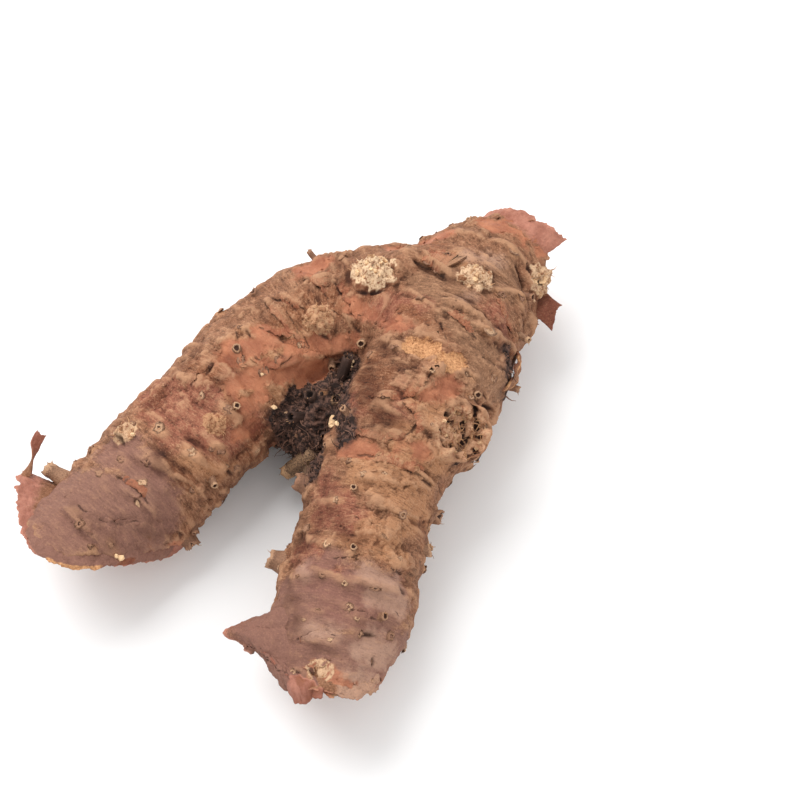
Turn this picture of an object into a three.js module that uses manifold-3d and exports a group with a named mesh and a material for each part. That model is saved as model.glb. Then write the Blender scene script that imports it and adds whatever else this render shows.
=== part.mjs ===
// A dried rhodiola rhizome, dug and cut as one forked piece. A stout stem runs from a cut foot in front to a
// cut crown at the back right, an arm leaves it to the left and ends in a cut of its own, a thick side shoot
// is broken off at the fork, and a nest of dead shoot bases fills the crotch. Bark ridges ring the limbs, dry
// sheets of bark curl off at the three cuts, and rootlet stubs stand all over. It grew as one piece, so it
// is one closed solid. Millimetres, +Z up, lying on z = 0 with the middle of its outer box at x = y = 0.
import * as THREE from "three";
import { mergeVertices } from "three/addons/utils/BufferGeometryUtils.js";
import Module from "manifold-3d";

const wasm = await Module();
wasm.setup();

// Driving dimensions
const BOX_MIDDLE = [-25.8, -14.3]; // middle of the outer box, in the coordinates of the centre lines
const RIDGE_PITCH = 7.2; // from one bark ridge to the next
const RIDGE_HEIGHT = 1.1;
const LUMP_HEIGHT = 0.8; // the slow swelling under the ridges
const BARK_WALL = 1.5; // the bark rim that stands round each cut face
const BARK_SHEET = 0.9; // a loose sheet of bark
const SUNK = 1.6; // how deep stubs and sheets are rooted
const TABLE_MARGIN = 60; // how far the cutting block reaches past the root

// Each limb's centre line, x, y, z, with its half width and half height there. The cuts say how far the top
// edge (over) and the left edge (aside) of the end run on past the middle, as shares of the half sizes.
const STEM = {
  stations: [
    [-16.3, -71, 13.0, 14.4, 13.4],
    [-15.2, -64, 13.9, 16.2, 14.8],
    [-13.4, -56, 14.8, 16.6, 15.2],
    [-10.8, -45.6, 16.6, 16.2, 15.0],
    [-8.5, -35.2, 17.6, 15.9, 15.0],
    [-4.5, -23.5, 19.0, 16.4, 15.6],
    [1.5, -9.5, 20.0, 18.0, 17.0],
    [8.0, 4.0, 20.0, 19.6, 18.0],
    [12.4, 19.4, 18.4, 19.8, 18.2],
    [18.8, 33.0, 16.6, 19.8, 17.0],
    [30.0, 43.6, 15.6, 14.6, 13.8],
  ],
  foot: { over: 0.85, aside: -0.05 },
  head: { over: 0.38, aside: 0.05 },
  rings: 62,
  sides: 20,
  slant: 2.6,
  phase: 0.4,
};
const ARM = {
  stations: [
    [6.0, 13.0, 19.6, 14.5, 14.0],
    [-5.0, 20.5, 19.8, 16.0, 15.0],
    [-19.8, 22.9, 19.4, 16.4, 14.8],
    [-30.5, 16.4, 18.4, 16.0, 14.4],
    [-39.2, 8.2, 17.8, 16.4, 14.8],
    [-43.9, 1.7, 17.2, 16.5, 14.8],
    [-48.8, -5.0, 16.6, 16.6, 15.0],
    [-53.8, -11.4, 15.8, 16.8, 15.2],
    [-60.5, -19.2, 14.5, 16.9, 15.4],
    [-66.2, -26.2, 14.0, 16.4, 15.2],
    [-73.5, -34.8, 14.0, 15.4, 14.6],
  ],
  foot: { over: 0, aside: 0 },
  head: { over: 1.2, aside: -0.2 },
  rings: 46,
  sides: 18,
  slant: -2.0,
  phase: 2.1,
};

// Bodies at the fork: the shoulder between the limbs, the plug of dead shoot bases and the broken side shoot.
const SHOULDER = { middle: [0.5, 27.5, 18.0], half: [20, 17.5, 15.8], turn: 8 };
const CROTCH = { middle: [-18.5, -4.5, 14], half: [14, 12, 12], turn: 30 };
const BROKEN_SHOOT = {
  foot: [9.5, -11.5, 16],
  tip: [16, -18, 31.5],
  footRadius: 10.5,
  tipRadius: 8.0,
  dish: 3.6,
};

const STUB_COUNT = 38; // rootlet stubs over both limbs
const STUB_RADIUS = 1.1;
const GOLDEN_ANGLE = 2.399963;

// Loose sheets of bark. Angles are degrees round the limb. Rooted and free are lengths along it from the cut,
// along is lengths from the limb's start, and the rest are mm too, but for twists, waves, phases and shares.
const CROWN_SHEET = { angles: [8, 131], rooted: -9, free: 0.8, corner: 6.5, lift: 0.7, droop: 0.6 };
const CROWN_CHIP = { along: [119.5, 126.5], taper: 2.5, angle: 178, twist: 14, sunk: 3, reach: 7.5 };
const FLANK_SLIVER = { angles: [150, 186], along: [80, 95], slant: 2, lift: 2.6, steep: 4, flare: 0.5 };
const ARM_COLLAR = { angles: [96, 174], rooted: -6, free: 2.5, taper: 3, flare: 12, curl: 1.2 };
const ARM_RIBBON = {
  foot: [0.93, 0.86],
  reach: [2.5, 10, 3.5],
  start: 20,
  twist: 150,
  halves: [1.9, 1.4],
  bow: 1.2,
};
const ARM_HEM = {
  angles: [-42, 118],
  rooted: -6,
  free: 1.8,
  belly: 1.6,
  scallop: 0.9,
  waves: 11,
  lift: 0.6,
  curl: 0.5,
};
const FOOT_FLAP = { angles: [58, 4], along: [-13, 8], slant: 9, peak: 0.65, lift: 0.5, flare: 14, dip: 3.5 };
const FOOT_LIP = {
  angles: [46, 150],
  rooted: 6,
  free: -0.15,
  scallop: 1.1,
  waves: 11.5,
  phase: 0.7,
  lift: 0.5,
};

const lerp = THREE.MathUtils.lerp;
const degrees = THREE.MathUtils.degToRad;

// A repeatable draw between 0 and 1 for the whole number k.
function draw(k) {
  const x = Math.sin(k * 12.9898 + 4.1414) * 43758.5453;
  return x - Math.floor(x);
}

// A limb's centre line and half sizes as functions of the length s along it, in mm. Past either end the line
// runs on straight.
function makeLimb(spec) {
  const last = spec.stations.length - 1;
  const line = new THREE.CatmullRomCurve3(
    spec.stations.map(([x, y, z]) => new THREE.Vector3(x, y, z)),
    false,
    "catmullrom",
    0.5,
  );
  const sizes = new THREE.CatmullRomCurve3(
    spec.stations.map(([, , , wide, high]) => new THREE.Vector3(wide, high, 0)),
    false,
    "catmullrom",
    0.5,
  );
  const steps = last * 24;
  line.arcLengthDivisions = steps;
  const lengths = line.getLengths(steps);
  const length = lengths[steps];

  // The curve parameter from 0 to 1 at length s.
  function parameter(s) {
    let i = 1;
    while (i < steps && lengths[i] < s) i += 1;
    return (i - 1 + (s - lengths[i - 1]) / (lengths[i] - lengths[i - 1])) / steps;
  }

  // The point at length s and angle phi, raised by lift. Phi is 0 on the left of a traveller along the limb
  // and a quarter turn on top.
  function at(s, phi, lift) {
    const inside = THREE.MathUtils.clamp(s, 0, length);
    const t = parameter(inside);
    const tangent = line.getTangent(THREE.MathUtils.clamp(t, 0.0005, 0.9995));
    const middle = line.getPoint(t).addScaledVector(tangent, s - inside);
    const half = sizes.getPoint(t);
    const left = new THREE.Vector3(-tangent.y, tangent.x, 0).normalize();
    const up = new THREE.Vector3().crossVectors(tangent, left);
    return middle
      .addScaledVector(left, (half.x + lift) * Math.cos(phi))
      .addScaledVector(up, (half.y + lift) * Math.sin(phi));
  }

  function cutEdge(cut, half, phi) {
    return cut.over * half.y * Math.sin(phi) + cut.aside * half.x * Math.cos(phi);
  }
  const footEdge = (phi) => -cutEdge(spec.foot, sizes.getPoint(0), phi);
  const headEdge = (phi) => length + cutEdge(spec.head, sizes.getPoint(1), phi);
  return { ...spec, length, at, footEdge, headEdge };
}

// Height of the bark over the plain limb: rounded rings that slant, wander and fade, on slow swellings.
function barkHeight(limb, s, phi) {
  const wander = limb.slant * Math.cos(phi - 0.6) + 0.9 * Math.sin(2 * phi + 0.11 * s + limb.phase);
  const ring = Math.abs(Math.sin((Math.PI * (s + wander)) / RIDGE_PITCH)) ** 0.8 - 0.6;
  const strength =
    0.6 + 0.4 * Math.sin(phi + 0.083 * s + limb.phase) * Math.cos(2 * phi - 0.06 * s);
  const lumps =
    0.5 * Math.sin(2 * phi + 0.071 * s + limb.phase) +
    0.35 * Math.sin(3 * phi - 0.13 * s + 1.9 * limb.phase) +
    0.3 * Math.cos(phi + 0.19 * s + 0.7);
  return RIDGE_HEIGHT * strength * ring + LUMP_HEIGHT * lumps;
}

// Ragged edge of a cut, in mm along the limb.
function ragged(phi, phase) {
  return 0.8 * Math.sin(3 * phi + phase) + 0.6 * Math.sin(7 * phi + 2 * phase) + 0.4 * Math.sin(12 * phi);
}

// A closed body from rings of points, all of the same count, between two end points.
function closedRings(first, rings, end) {
  const sides = rings[0].length;
  const points = [first, ...rings.flat(), end];
  const index = [];
  const vertex = (ring, side) => 1 + ring * sides + (side % sides);
  for (let side = 0; side < sides; side += 1) {
    index.push(0, vertex(0, side + 1), vertex(0, side));
    for (let ring = 0; ring + 1 < rings.length; ring += 1) {
      index.push(vertex(ring, side), vertex(ring, side + 1), vertex(ring + 1, side + 1));
      index.push(vertex(ring, side), vertex(ring + 1, side + 1), vertex(ring + 1, side));
    }
    index.push(points.length - 1, vertex(rings.length - 1, side), vertex(rings.length - 1, side + 1));
  }
  const geometry = new THREE.BufferGeometry().setFromPoints(points);
  return geometry.setIndex(index);
}

// A closed geometry as a solid, turned the right way out.
function solid(geometry) {
  geometry.deleteAttribute("normal");
  geometry.deleteAttribute("uv");
  const merged = mergeVertices(geometry, 1e-4);
  const vertProperties = new Float32Array(merged.attributes.position.array);
  const triVerts = new Uint32Array(merged.index.array);
  const made = new wasm.Manifold(new wasm.Mesh({ numProp: 3, vertProperties, triVerts }));
  if (made.volume() > 0) return made;
  return new wasm.Manifold(
    new wasm.Mesh({ numProp: 3, vertProperties, triVerts: triVerts.slice().reverse() }),
  );
}

// The cut face: inside the bark rim the flesh has shrunk back and shows rings and cracks.
const FACE_RINGS = [0.9, 0.84, 0.55, 0.25];
const FACE_DEPTHS = [-0.1, -BARK_WALL, -0.9, -1.7];

// Rings of the cut face from the rim inwards. The rim is a closed ring of points and out points along the
// limb, away from it.
function cutFace(rim, out) {
  const middle = rim
    .reduce((sum, p) => sum.add(p), new THREE.Vector3())
    .multiplyScalar(1 / rim.length);
  const rings = FACE_RINGS.map((share, ring) =>
    rim.map((p, side) => {
      const crack = share < 0.9 ? 0.45 * Math.sin(5 * ((2 * Math.PI * side) / rim.length) + ring) : 0;
      return middle.clone().lerp(p, share).addScaledVector(out, FACE_DEPTHS[ring] + crack);
    }),
  );
  return { rings, centre: middle.clone().addScaledVector(out, -1.6) };
}

// A limb with its bark and both ends. A plain end is a dome hidden in the other limb.
function limbSolid(limb) {
  const angles = Array.from({ length: limb.sides }, (_, k) => (2 * Math.PI * k) / limb.sides);
  const rows = [];
  for (let row = 0; row <= limb.rings; row += 1) {
    rows.push(
      angles.map((phi) => {
        const from = limb.footEdge(phi) - ragged(phi, 1.0);
        const to = limb.headEdge(phi) + ragged(phi, 2.6);
        const s = lerp(from, to, row / limb.rings);
        return limb.at(s, phi, barkHeight(limb, s, phi));
      }),
    );
  }
  const outAt = (s, ahead) => limb.at(s + ahead, 0, 0).sub(limb.at(s, 0, 0)).normalize();
  const foot = cutFace(rows[0], outAt(0, -1));
  const head = cutFace(rows[rows.length - 1], outAt(limb.length, 1));
  const rings = [...foot.rings.slice().reverse(), ...rows, ...head.rings];
  return solid(closedRings(foot.centre, rings, head.centre));
}

// A short tapering stump from point a to point b, with a dished or plain tip.
function stump(a, b, radiusA, radiusB, sides, dish = 0) {
  const axis = b.clone().sub(a).normalize();
  const seed = Math.abs(axis.z) < 0.8 ? new THREE.Vector3(0, 0, 1) : new THREE.Vector3(1, 0, 0);
  const across = new THREE.Vector3().crossVectors(axis, seed).normalize();
  const other = new THREE.Vector3().crossVectors(axis, across);
  const ring = (centre, radius, rough) =>
    Array.from({ length: sides }, (_, k) => {
      const turn = (2 * Math.PI * k) / sides;
      const far = radius * (1 + rough * Math.sin(2 * turn + radius));
      return centre
        .clone()
        .addScaledVector(across, far * Math.cos(turn))
        .addScaledVector(other, far * Math.sin(turn))
        .addScaledVector(axis, rough * 1.5 * Math.sin(3 * turn));
    });
  const rings = [ring(a, radiusA, 0.05), ring(b, radiusB, 0.08)];
  const bottom = b.clone().addScaledVector(axis, -dish);
  if (dish > 0) rings.push(ring(b, radiusB * 0.78, 0.06), ring(bottom, radiusB * 0.6, 0.1));
  return solid(closedRings(a.clone(), rings, bottom));
}

// A stump that stands on a limb at length s and angle phi, rooted below the bark.
function standing(limb, s, phi, tall, radius, sides, lean, dish = 0) {
  const height = barkHeight(limb, s, phi);
  const rooted = limb.at(s - lean * SUNK, phi, height - SUNK);
  const tip = limb.at(s + lean * tall, phi, height + tall);
  return stump(rooted, tip, radius * 1.15, radius, sides, dish);
}

// A loose sheet of bark: a grid of points given by place(u, v), thickened evenly to both sides.
function sheet(place, across, along) {
  const point = (i, j) => place(i / across, j / along);
  const faces = [[], []];
  for (let i = 0; i <= across; i += 1) {
    for (let j = 0; j <= along; j += 1) {
      const p = point(i, j);
      const du = point(Math.min(i + 1, across), j).sub(point(Math.max(i - 1, 0), j));
      const dv = point(i, Math.min(j + 1, along)).sub(point(i, Math.max(j - 1, 0)));
      const normal = du.cross(dv).normalize();
      faces[0].push(p.clone().addScaledVector(normal, BARK_SHEET / 2));
      faces[1].push(p.clone().addScaledVector(normal, -BARK_SHEET / 2));
    }
  }
  const count = faces[0].length;
  const index = [];
  const id = (i, j) => i * (along + 1) + j;
  const quad = (a, b, c, d) => index.push(a, b, c, a, c, d);
  for (let i = 0; i < across; i += 1) {
    for (let j = 0; j < along; j += 1) {
      quad(id(i, j), id(i + 1, j), id(i + 1, j + 1), id(i, j + 1));
      index.push(count + id(i, j), count + id(i + 1, j + 1), count + id(i + 1, j));
      index.push(count + id(i, j), count + id(i, j + 1), count + id(i + 1, j + 1));
    }
  }
  for (let i = 0; i < across; i += 1) {
    quad(id(i + 1, 0), id(i, 0), count + id(i, 0), count + id(i + 1, 0));
    quad(id(i, along), id(i + 1, along), count + id(i + 1, along), count + id(i, along));
  }
  for (let j = 0; j < along; j += 1) {
    quad(id(0, j), id(0, j + 1), count + id(0, j + 1), count + id(0, j));
    quad(id(across, j + 1), id(across, j), count + id(across, j), count + id(across, j + 1));
  }
  const geometry = new THREE.BufferGeometry().setFromPoints([...faces[0], ...faces[1]]);
  return solid(geometry.setIndex(index));
}

const stem = makeLimb(STEM);
const arm = makeLimb(ARM);

// Loose bark. Each sheet is rooted in a limb at v = 0 and free at v = 1.

// The skin over the crown's far side runs on past the cut to a corner at the right.
function crownSheet() {
  const { angles, rooted, free, corner, lift, droop } = CROWN_SHEET;
  const place = (u, v) => {
    const phi = degrees(lerp(...angles, u));
    const s = stem.headEdge(phi) + lerp(rooted, free + corner * u ** 4, v);
    const raised = lerp(-SUNK, lift, Math.min(1, 2 * v)) - droop * v * v;
    return stem.at(s, phi, barkHeight(stem, s, phi) + raised);
  };
  return sheet(place, 9, 4);
}

// A flat chip of bark that sticks out to the right below the crown.
function crownChip() {
  const { along, taper, angle, twist, sunk, reach } = CROWN_CHIP;
  const place = (u, v) => {
    const s = lerp(along[0], along[1] - taper * v, u);
    return stem.at(s, degrees(angle - twist * u * v), lerp(-sunk, reach, v));
  };
  return sheet(place, 3, 4);
}

// A sliver of wood split off the crown's right flank, rooted at both ends.
function flankSliver() {
  const { angles, along, slant, lift, steep, flare } = FLANK_SLIVER;
  const place = (u, v) => {
    const s = lerp(...along, u) + slant * v;
    const raised = lerp(-SUNK, lift, Math.min(1, steep * u, steep * (1 - u)));
    return stem.at(s, degrees(lerp(...angles, v)), raised + flare * v);
  };
  return sheet(place, 7, 3);
}

// The sheet that stands off the far corner of the arm's end.
function collarPoint(u, v) {
  const { angles, rooted, free, taper, flare, curl } = ARM_COLLAR;
  const phi = degrees(lerp(...angles, u));
  const s = arm.headEdge(phi) + lerp(rooted, free - taper * u, v);
  return arm.at(s, phi, lerp(-SUNK, flare * u * u - 0.5, v ** curl));
}

// A twisted ribbon of bark that rises from the collar's far corner.
function collarRibbon() {
  const { foot, reach, start, twist, halves, bow } = ARM_RIBBON;
  const rooted = collarPoint(...foot);
  const tip = rooted.clone().add(new THREE.Vector3(...reach));
  const place = (u, v) => {
    const turn = degrees(start + twist * v);
    const half = lerp(...halves, v) * (2 * u - 1);
    const p = rooted.clone().lerp(tip, v);
    p.x += half * Math.cos(turn) + bow * Math.sin(Math.PI * v);
    p.z += half * Math.sin(turn);
    return p;
  };
  return sheet(place, 2, 6);
}

// The rolled bark edge along the near side and the top of the arm's end.
function armHem() {
  const { angles, rooted, free, belly, scallop, waves, lift, curl } = ARM_HEM;
  const place = (u, v) => {
    const phi = degrees(lerp(...angles, u));
    const edge = free + belly * Math.sin(Math.PI * u) + scallop * Math.sin(waves * u);
    const s = arm.headEdge(phi) + lerp(rooted, edge, v);
    const raised = lerp(-SUNK, lift, Math.min(1, 2 * v)) + curl * v * v * Math.cos(2 * phi);
    return arm.at(s, phi, barkHeight(arm, s, phi) + raised);
  };
  return sheet(place, 12, 3);
}

// The pointed flap that flares to the left of the stem's foot.
function footFlap() {
  const { angles, along, slant, peak, lift, flare, dip } = FOOT_FLAP;
  const place = (u, v) => {
    const phi = degrees(lerp(...angles, v));
    const point = Math.min(u / peak, (1 - u) / (1 - peak));
    const s = lerp(along[0] + slant * v, along[1], u);
    const raised = lerp(-SUNK, lift, Math.min(1, 3 * v)) + (flare * point - dip) * v * v;
    return stem.at(s, phi, barkHeight(stem, s, phi) + raised);
  };
  return sheet(place, 10, 5);
}

// The ragged bark lip along the top of the stem's foot.
function footLip() {
  const { angles, rooted, free, scallop, waves, phase, lift } = FOOT_LIP;
  const place = (u, v) => {
    const phi = degrees(lerp(...angles, u));
    const s = stem.footEdge(phi) + lerp(rooted, free - scallop * Math.sin(waves * u - phase), v);
    const raised = lerp(-SUNK, lift, Math.min(1, 2 * v));
    return stem.at(s, phi, barkHeight(stem, s, phi) + raised);
  };
  return sheet(place, 9, 3);
}

const looseBark = [
  crownSheet(),
  crownChip(),
  flankSliver(),
  sheet(collarPoint, 8, 5),
  collarRibbon(),
  armHem(),
  footFlap(),
  footLip(),
];

// A lumpy rounded body with its middle and half sizes given in mm, turned about the vertical by degrees.
function lumpyBody({ middle, half, turn }, columns, rows) {
  const scale = new THREE.Vector3(...half);
  const place = new THREE.Vector3(...middle);
  const upright = new THREE.Vector3(0, 0, 1);
  const ball = new THREE.SphereGeometry(1, columns, rows);
  ball.deleteAttribute("normal");
  ball.deleteAttribute("uv");
  const merged = mergeVertices(ball);
  const position = merged.attributes.position;
  const p = new THREE.Vector3();
  for (let i = 0; i < position.count; i += 1) {
    p.fromBufferAttribute(position, i);
    const lump = 1 + 0.08 * Math.sin(6 * p.x + 1) * Math.sin(7 * p.y) + 0.06 * Math.sin(8 * p.z + 4 * p.x);
    p.multiplyScalar(lump).multiply(scale).applyAxisAngle(upright, degrees(turn)).add(place);
    position.setXYZ(i, p.x, p.y, p.z);
  }
  return solid(merged);
}

// The fork's shoulder, which carries the arm's thickness on into the stem.
const shoulder = lumpyBody(SHOULDER, 16, 11);

// The thick side shoot broken off at the fork, open at its torn end.
const brokenShoot = stump(
  new THREE.Vector3(...BROKEN_SHOOT.foot),
  new THREE.Vector3(...BROKEN_SHOOT.tip),
  BROKEN_SHOOT.footRadius,
  BROKEN_SHOOT.tipRadius,
  16,
  BROKEN_SHOOT.dish,
);

// The nest of dead shoot bases in the crotch: a lumpy plug with stumps that stand out of it.
const CROTCH_STUMPS = [ // tip x, y, z, and tip radius
  [-29, -17.5, 8.5, 2.2],
  [-27, -12, 24.5, 1.9],
  [-16, -6.5, 27.5, 1.3],
  [-13.5, -10, 27.0, 1.2],
  [-13, 4, 31, 1.3],
  [-19, -15, 22, 1.4],
  [-21.5, -21, 14, 1.7],
  [-23, -5, 27.5, 1.4],
];
const crotchMiddle = new THREE.Vector3(...CROTCH.middle);
const crotch = [
  lumpyBody(CROTCH, 16, 10),
  ...CROTCH_STUMPS.map(([x, y, z, radius]) =>
    stump(crotchMiddle, new THREE.Vector3(x, y, z), radius * 1.4, radius, 5, radius * 0.7),
  ),
];

// Scars and broken shoot bases: crumbling knobs with a dished top.
const SCARS = [ // limb, length along it, angle in degrees, radius, height
  [stem, 102, 103, 4.2, 1.4],
  [arm, 17.5, 118, 4.8, 2.4],
  [arm, 26, 141, 4.4, 2.2],
  [arm, 33, 62, 3.6, 1.3],
  [arm, 90, 117, 3.2, 1.6],
  [arm, 74.5, 62, 3.0, 1.0],
  [stem, -5.6, 86, 3.2, 0.9],
  [stem, 121.5, 151, 4.4, 1.2],
  [stem, 21, 2, 2.4, 4.2],
  [stem, 40, 8, 2.4, 3.4],
  [stem, 31, 176, 1.9, 2.2],
  [stem, 42, 172, 1.9, 2.0],
  [arm, 107.5, 168, 2.1, 5.5],
  [arm, 97.5, -14, 2.0, 2.6],
  [stem, 62, 252, 4.0, 1.2],
  [arm, 58, 256, 3.6, 1.1],
  [stem, 92, 300, 3.8, 1.3],
];
const scars = SCARS.map(([limb, s, angle, radius, tall]) =>
  standing(limb, s, degrees(angle), tall, radius, 7, 0.1, Math.min(1.2, tall * 0.5)),
);

// Rootlet stubs, spaced by the golden angle along each limb in turn. Those on the flanks stand taller.
function rootletStubs() {
  const made = [];
  for (let k = 0; k < STUB_COUNT; k += 1) {
    const limb = k % 5 < 3 ? stem : arm;
    const share = ((k + 0.5) / STUB_COUNT) * 0.94 + 0.03;
    const s = share * limb.length + 3 * (draw(k) - 0.5);
    const phi = k * GOLDEN_ANGLE + 0.5 * (draw(k + 200) - 0.5);
    const flank = Math.abs(Math.cos(phi)) > 0.8;
    const tall = flank ? 1.6 + 1.6 * draw(k + 400) : 0.8 + 0.6 * draw(k + 400);
    made.push(standing(limb, s, phi, tall, STUB_RADIUS, 5, draw(k + 600) - 0.5));
  }
  return made;
}

// Everything joined, then trimmed flat where it would sink into the table. Pockets that the joining seals
// are left filled, and crumbs that it leaves loose are dropped, by keeping the one large body.
function buildRoot() {
  const grown = wasm.Manifold.union([
    limbSolid(stem),
    limbSolid(arm),
    shoulder,
    brokenShoot,
    ...crotch,
    ...looseBark,
    ...scars,
    ...rootletStubs(),
  ]);
  const block = new THREE.BoxGeometry(400, 400, TABLE_MARGIN);
  block.translate(0, 0, -TABLE_MARGIN / 2);
  const bodies = grown.subtract(solid(block)).decompose();
  return bodies.reduce((largest, body) => (body.volume() > largest.volume() ? body : largest));
}

function toGeometry(made) {
  const { numProp, vertProperties, triVerts } = made.getMesh();
  const position = new Float32Array((vertProperties.length / numProp) * 3);
  for (let i = 0; i < position.length / 3; i += 1) {
    position.set(vertProperties.subarray(i * numProp, i * numProp + 3), i * 3);
  }
  const geometry = new THREE.BufferGeometry();
  geometry.setAttribute("position", new THREE.BufferAttribute(position, 3));
  geometry.setIndex(new THREE.BufferAttribute(triVerts, 1));
  geometry.computeVertexNormals();
  return geometry;
}

const bark = new THREE.MeshStandardMaterial({ color: 0x93705a, roughness: 0.88, metalness: 0 });
const rhizome = new THREE.Mesh(toGeometry(buildRoot()), bark);
rhizome.name = "rhodiola_root";
rhizome.position.set(-BOX_MIDDLE[0], -BOX_MIDDLE[1], 0);

const root = new THREE.Group();
root.add(rhizome);

export default root;
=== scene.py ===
"""The looks of a dried rhodiola rhizome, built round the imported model.

Lengths are millimetres in the root's own frame, z up from the table, and turn into metres where a mesh is
made. A limb's skin is described by s, the length along it, and phi, the angle round it, 0 on the left of a
traveller along the limb and a quarter turn on top.
"""
import logging
import math
from collections.abc import Callable
from dataclasses import dataclass, field
from enum import Enum, StrEnum, auto

import bmesh
import bpy
import numpy as np
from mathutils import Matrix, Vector
from mathutils.bvhtree import BVHTree


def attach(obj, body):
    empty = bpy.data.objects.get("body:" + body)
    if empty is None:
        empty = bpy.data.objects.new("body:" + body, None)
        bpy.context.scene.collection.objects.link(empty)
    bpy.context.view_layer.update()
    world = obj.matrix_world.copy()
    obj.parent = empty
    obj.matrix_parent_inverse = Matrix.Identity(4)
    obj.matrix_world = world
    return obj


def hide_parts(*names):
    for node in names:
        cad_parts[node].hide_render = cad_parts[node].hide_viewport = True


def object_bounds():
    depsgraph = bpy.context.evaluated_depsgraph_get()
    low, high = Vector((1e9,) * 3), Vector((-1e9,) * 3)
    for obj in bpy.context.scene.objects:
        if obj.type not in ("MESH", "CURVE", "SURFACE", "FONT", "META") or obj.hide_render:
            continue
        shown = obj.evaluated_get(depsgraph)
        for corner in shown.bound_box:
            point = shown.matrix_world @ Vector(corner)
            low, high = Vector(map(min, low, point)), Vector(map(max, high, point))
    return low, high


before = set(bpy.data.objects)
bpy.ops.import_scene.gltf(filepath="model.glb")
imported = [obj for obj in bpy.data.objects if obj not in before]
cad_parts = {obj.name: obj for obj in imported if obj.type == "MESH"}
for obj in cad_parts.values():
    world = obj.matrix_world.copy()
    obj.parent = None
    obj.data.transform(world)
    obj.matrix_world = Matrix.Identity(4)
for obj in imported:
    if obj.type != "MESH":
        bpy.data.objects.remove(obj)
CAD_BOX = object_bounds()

Array = np.ndarray
Triple = tuple[float, float, float]
Spot = tuple[float, float]  # a pixel of the photograph, across and down
Pair = tuple[Array, Array]
Tones = dict[str, Array]  # a number for each point, by the name of its field
Colour = tuple[float, float, float, float]
Draws = np.random.Generator
Mesh = bpy.types.Mesh
Material = bpy.types.Material
Socket = bpy.types.NodeSocket

NODE = "rhodiola_root"
BODY = "root"
MM = 0.001
MIDDLE = np.array([25.8, 14.3, 0.0])  # moves coordinates about the fork to the middle of the box
RIDGE_PITCH = 7.2  # from ring to ring along a limb
RIDGE_HEIGHT = 1.1
LUMP_HEIGHT = 0.8
SUNK = 1.6  # how deep the roots of sheets and stubs stand in the bark
GOLDEN_ANGLE = 2.399963
SEED = 7

log = logging.getLogger("rhizome")


def smooth(value: Array, low: float, high: float) -> Array:
    """Eased step, 0 at low and 1 at high, level at both ends. Low may be the larger one."""
    share = np.clip((value - low) / (high - low), 0.0, 1.0)
    return share * share * (3.0 - 2.0 * share)


def lerp(start: Array, end: Array, share: Array) -> Array:
    """Straight mix of start and end."""
    return start + (end - start) * share


def unit(vectors: Array) -> Array:
    """Vectors brought to length 1 along the last axis."""
    return vectors / np.maximum(np.linalg.norm(vectors, axis=-1, keepdims=True), 1e-12)


def basis(normals: Array) -> Pair:
    """Two unit vectors across each normal, square to it and to each other."""
    seed = np.where(np.abs(normals[..., 2:]) < 0.8, [0.0, 0.0, 1.0], [1.0, 0.0, 0.0])
    across = unit(np.cross(normals, seed))
    return across, np.cross(normals, across)


def ring(normals: Array, turn: Array) -> Array:
    """Unit vectors across each normal, at the angles turn round it: one more axis, before the last."""
    across, other = basis(normals)
    return across[..., None, :] * np.cos(turn)[..., None] + other[..., None, :] * np.sin(turn)[..., None]


def draws(step: int) -> Draws:
    """The seeded source of random numbers for one step of the work."""
    return np.random.default_rng(SEED + step)


def pick(rng: Draws, share: Array, count: int) -> Array:
    """Numbers of count different points, drawn with chances in proportion to share."""
    return rng.choice(len(share), count, replace=False, p=share / share.sum())


def draw(k: Array) -> Array:
    """The repeatable draw between 0 and 1 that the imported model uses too, for whole numbers k."""
    x = np.sin(np.asarray(k) * 12.9898 + 4.1414) * 43758.5453
    return x - np.floor(x)


def ragged(phi: Array, phase: float) -> Array:
    """Ragged edge of a cut, in mm along the limb: three sines round it."""
    return 0.8 * np.sin(3 * phi + phase) + 0.6 * np.sin(7 * phi + 2 * phase) + 0.4 * np.sin(12 * phi)


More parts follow.
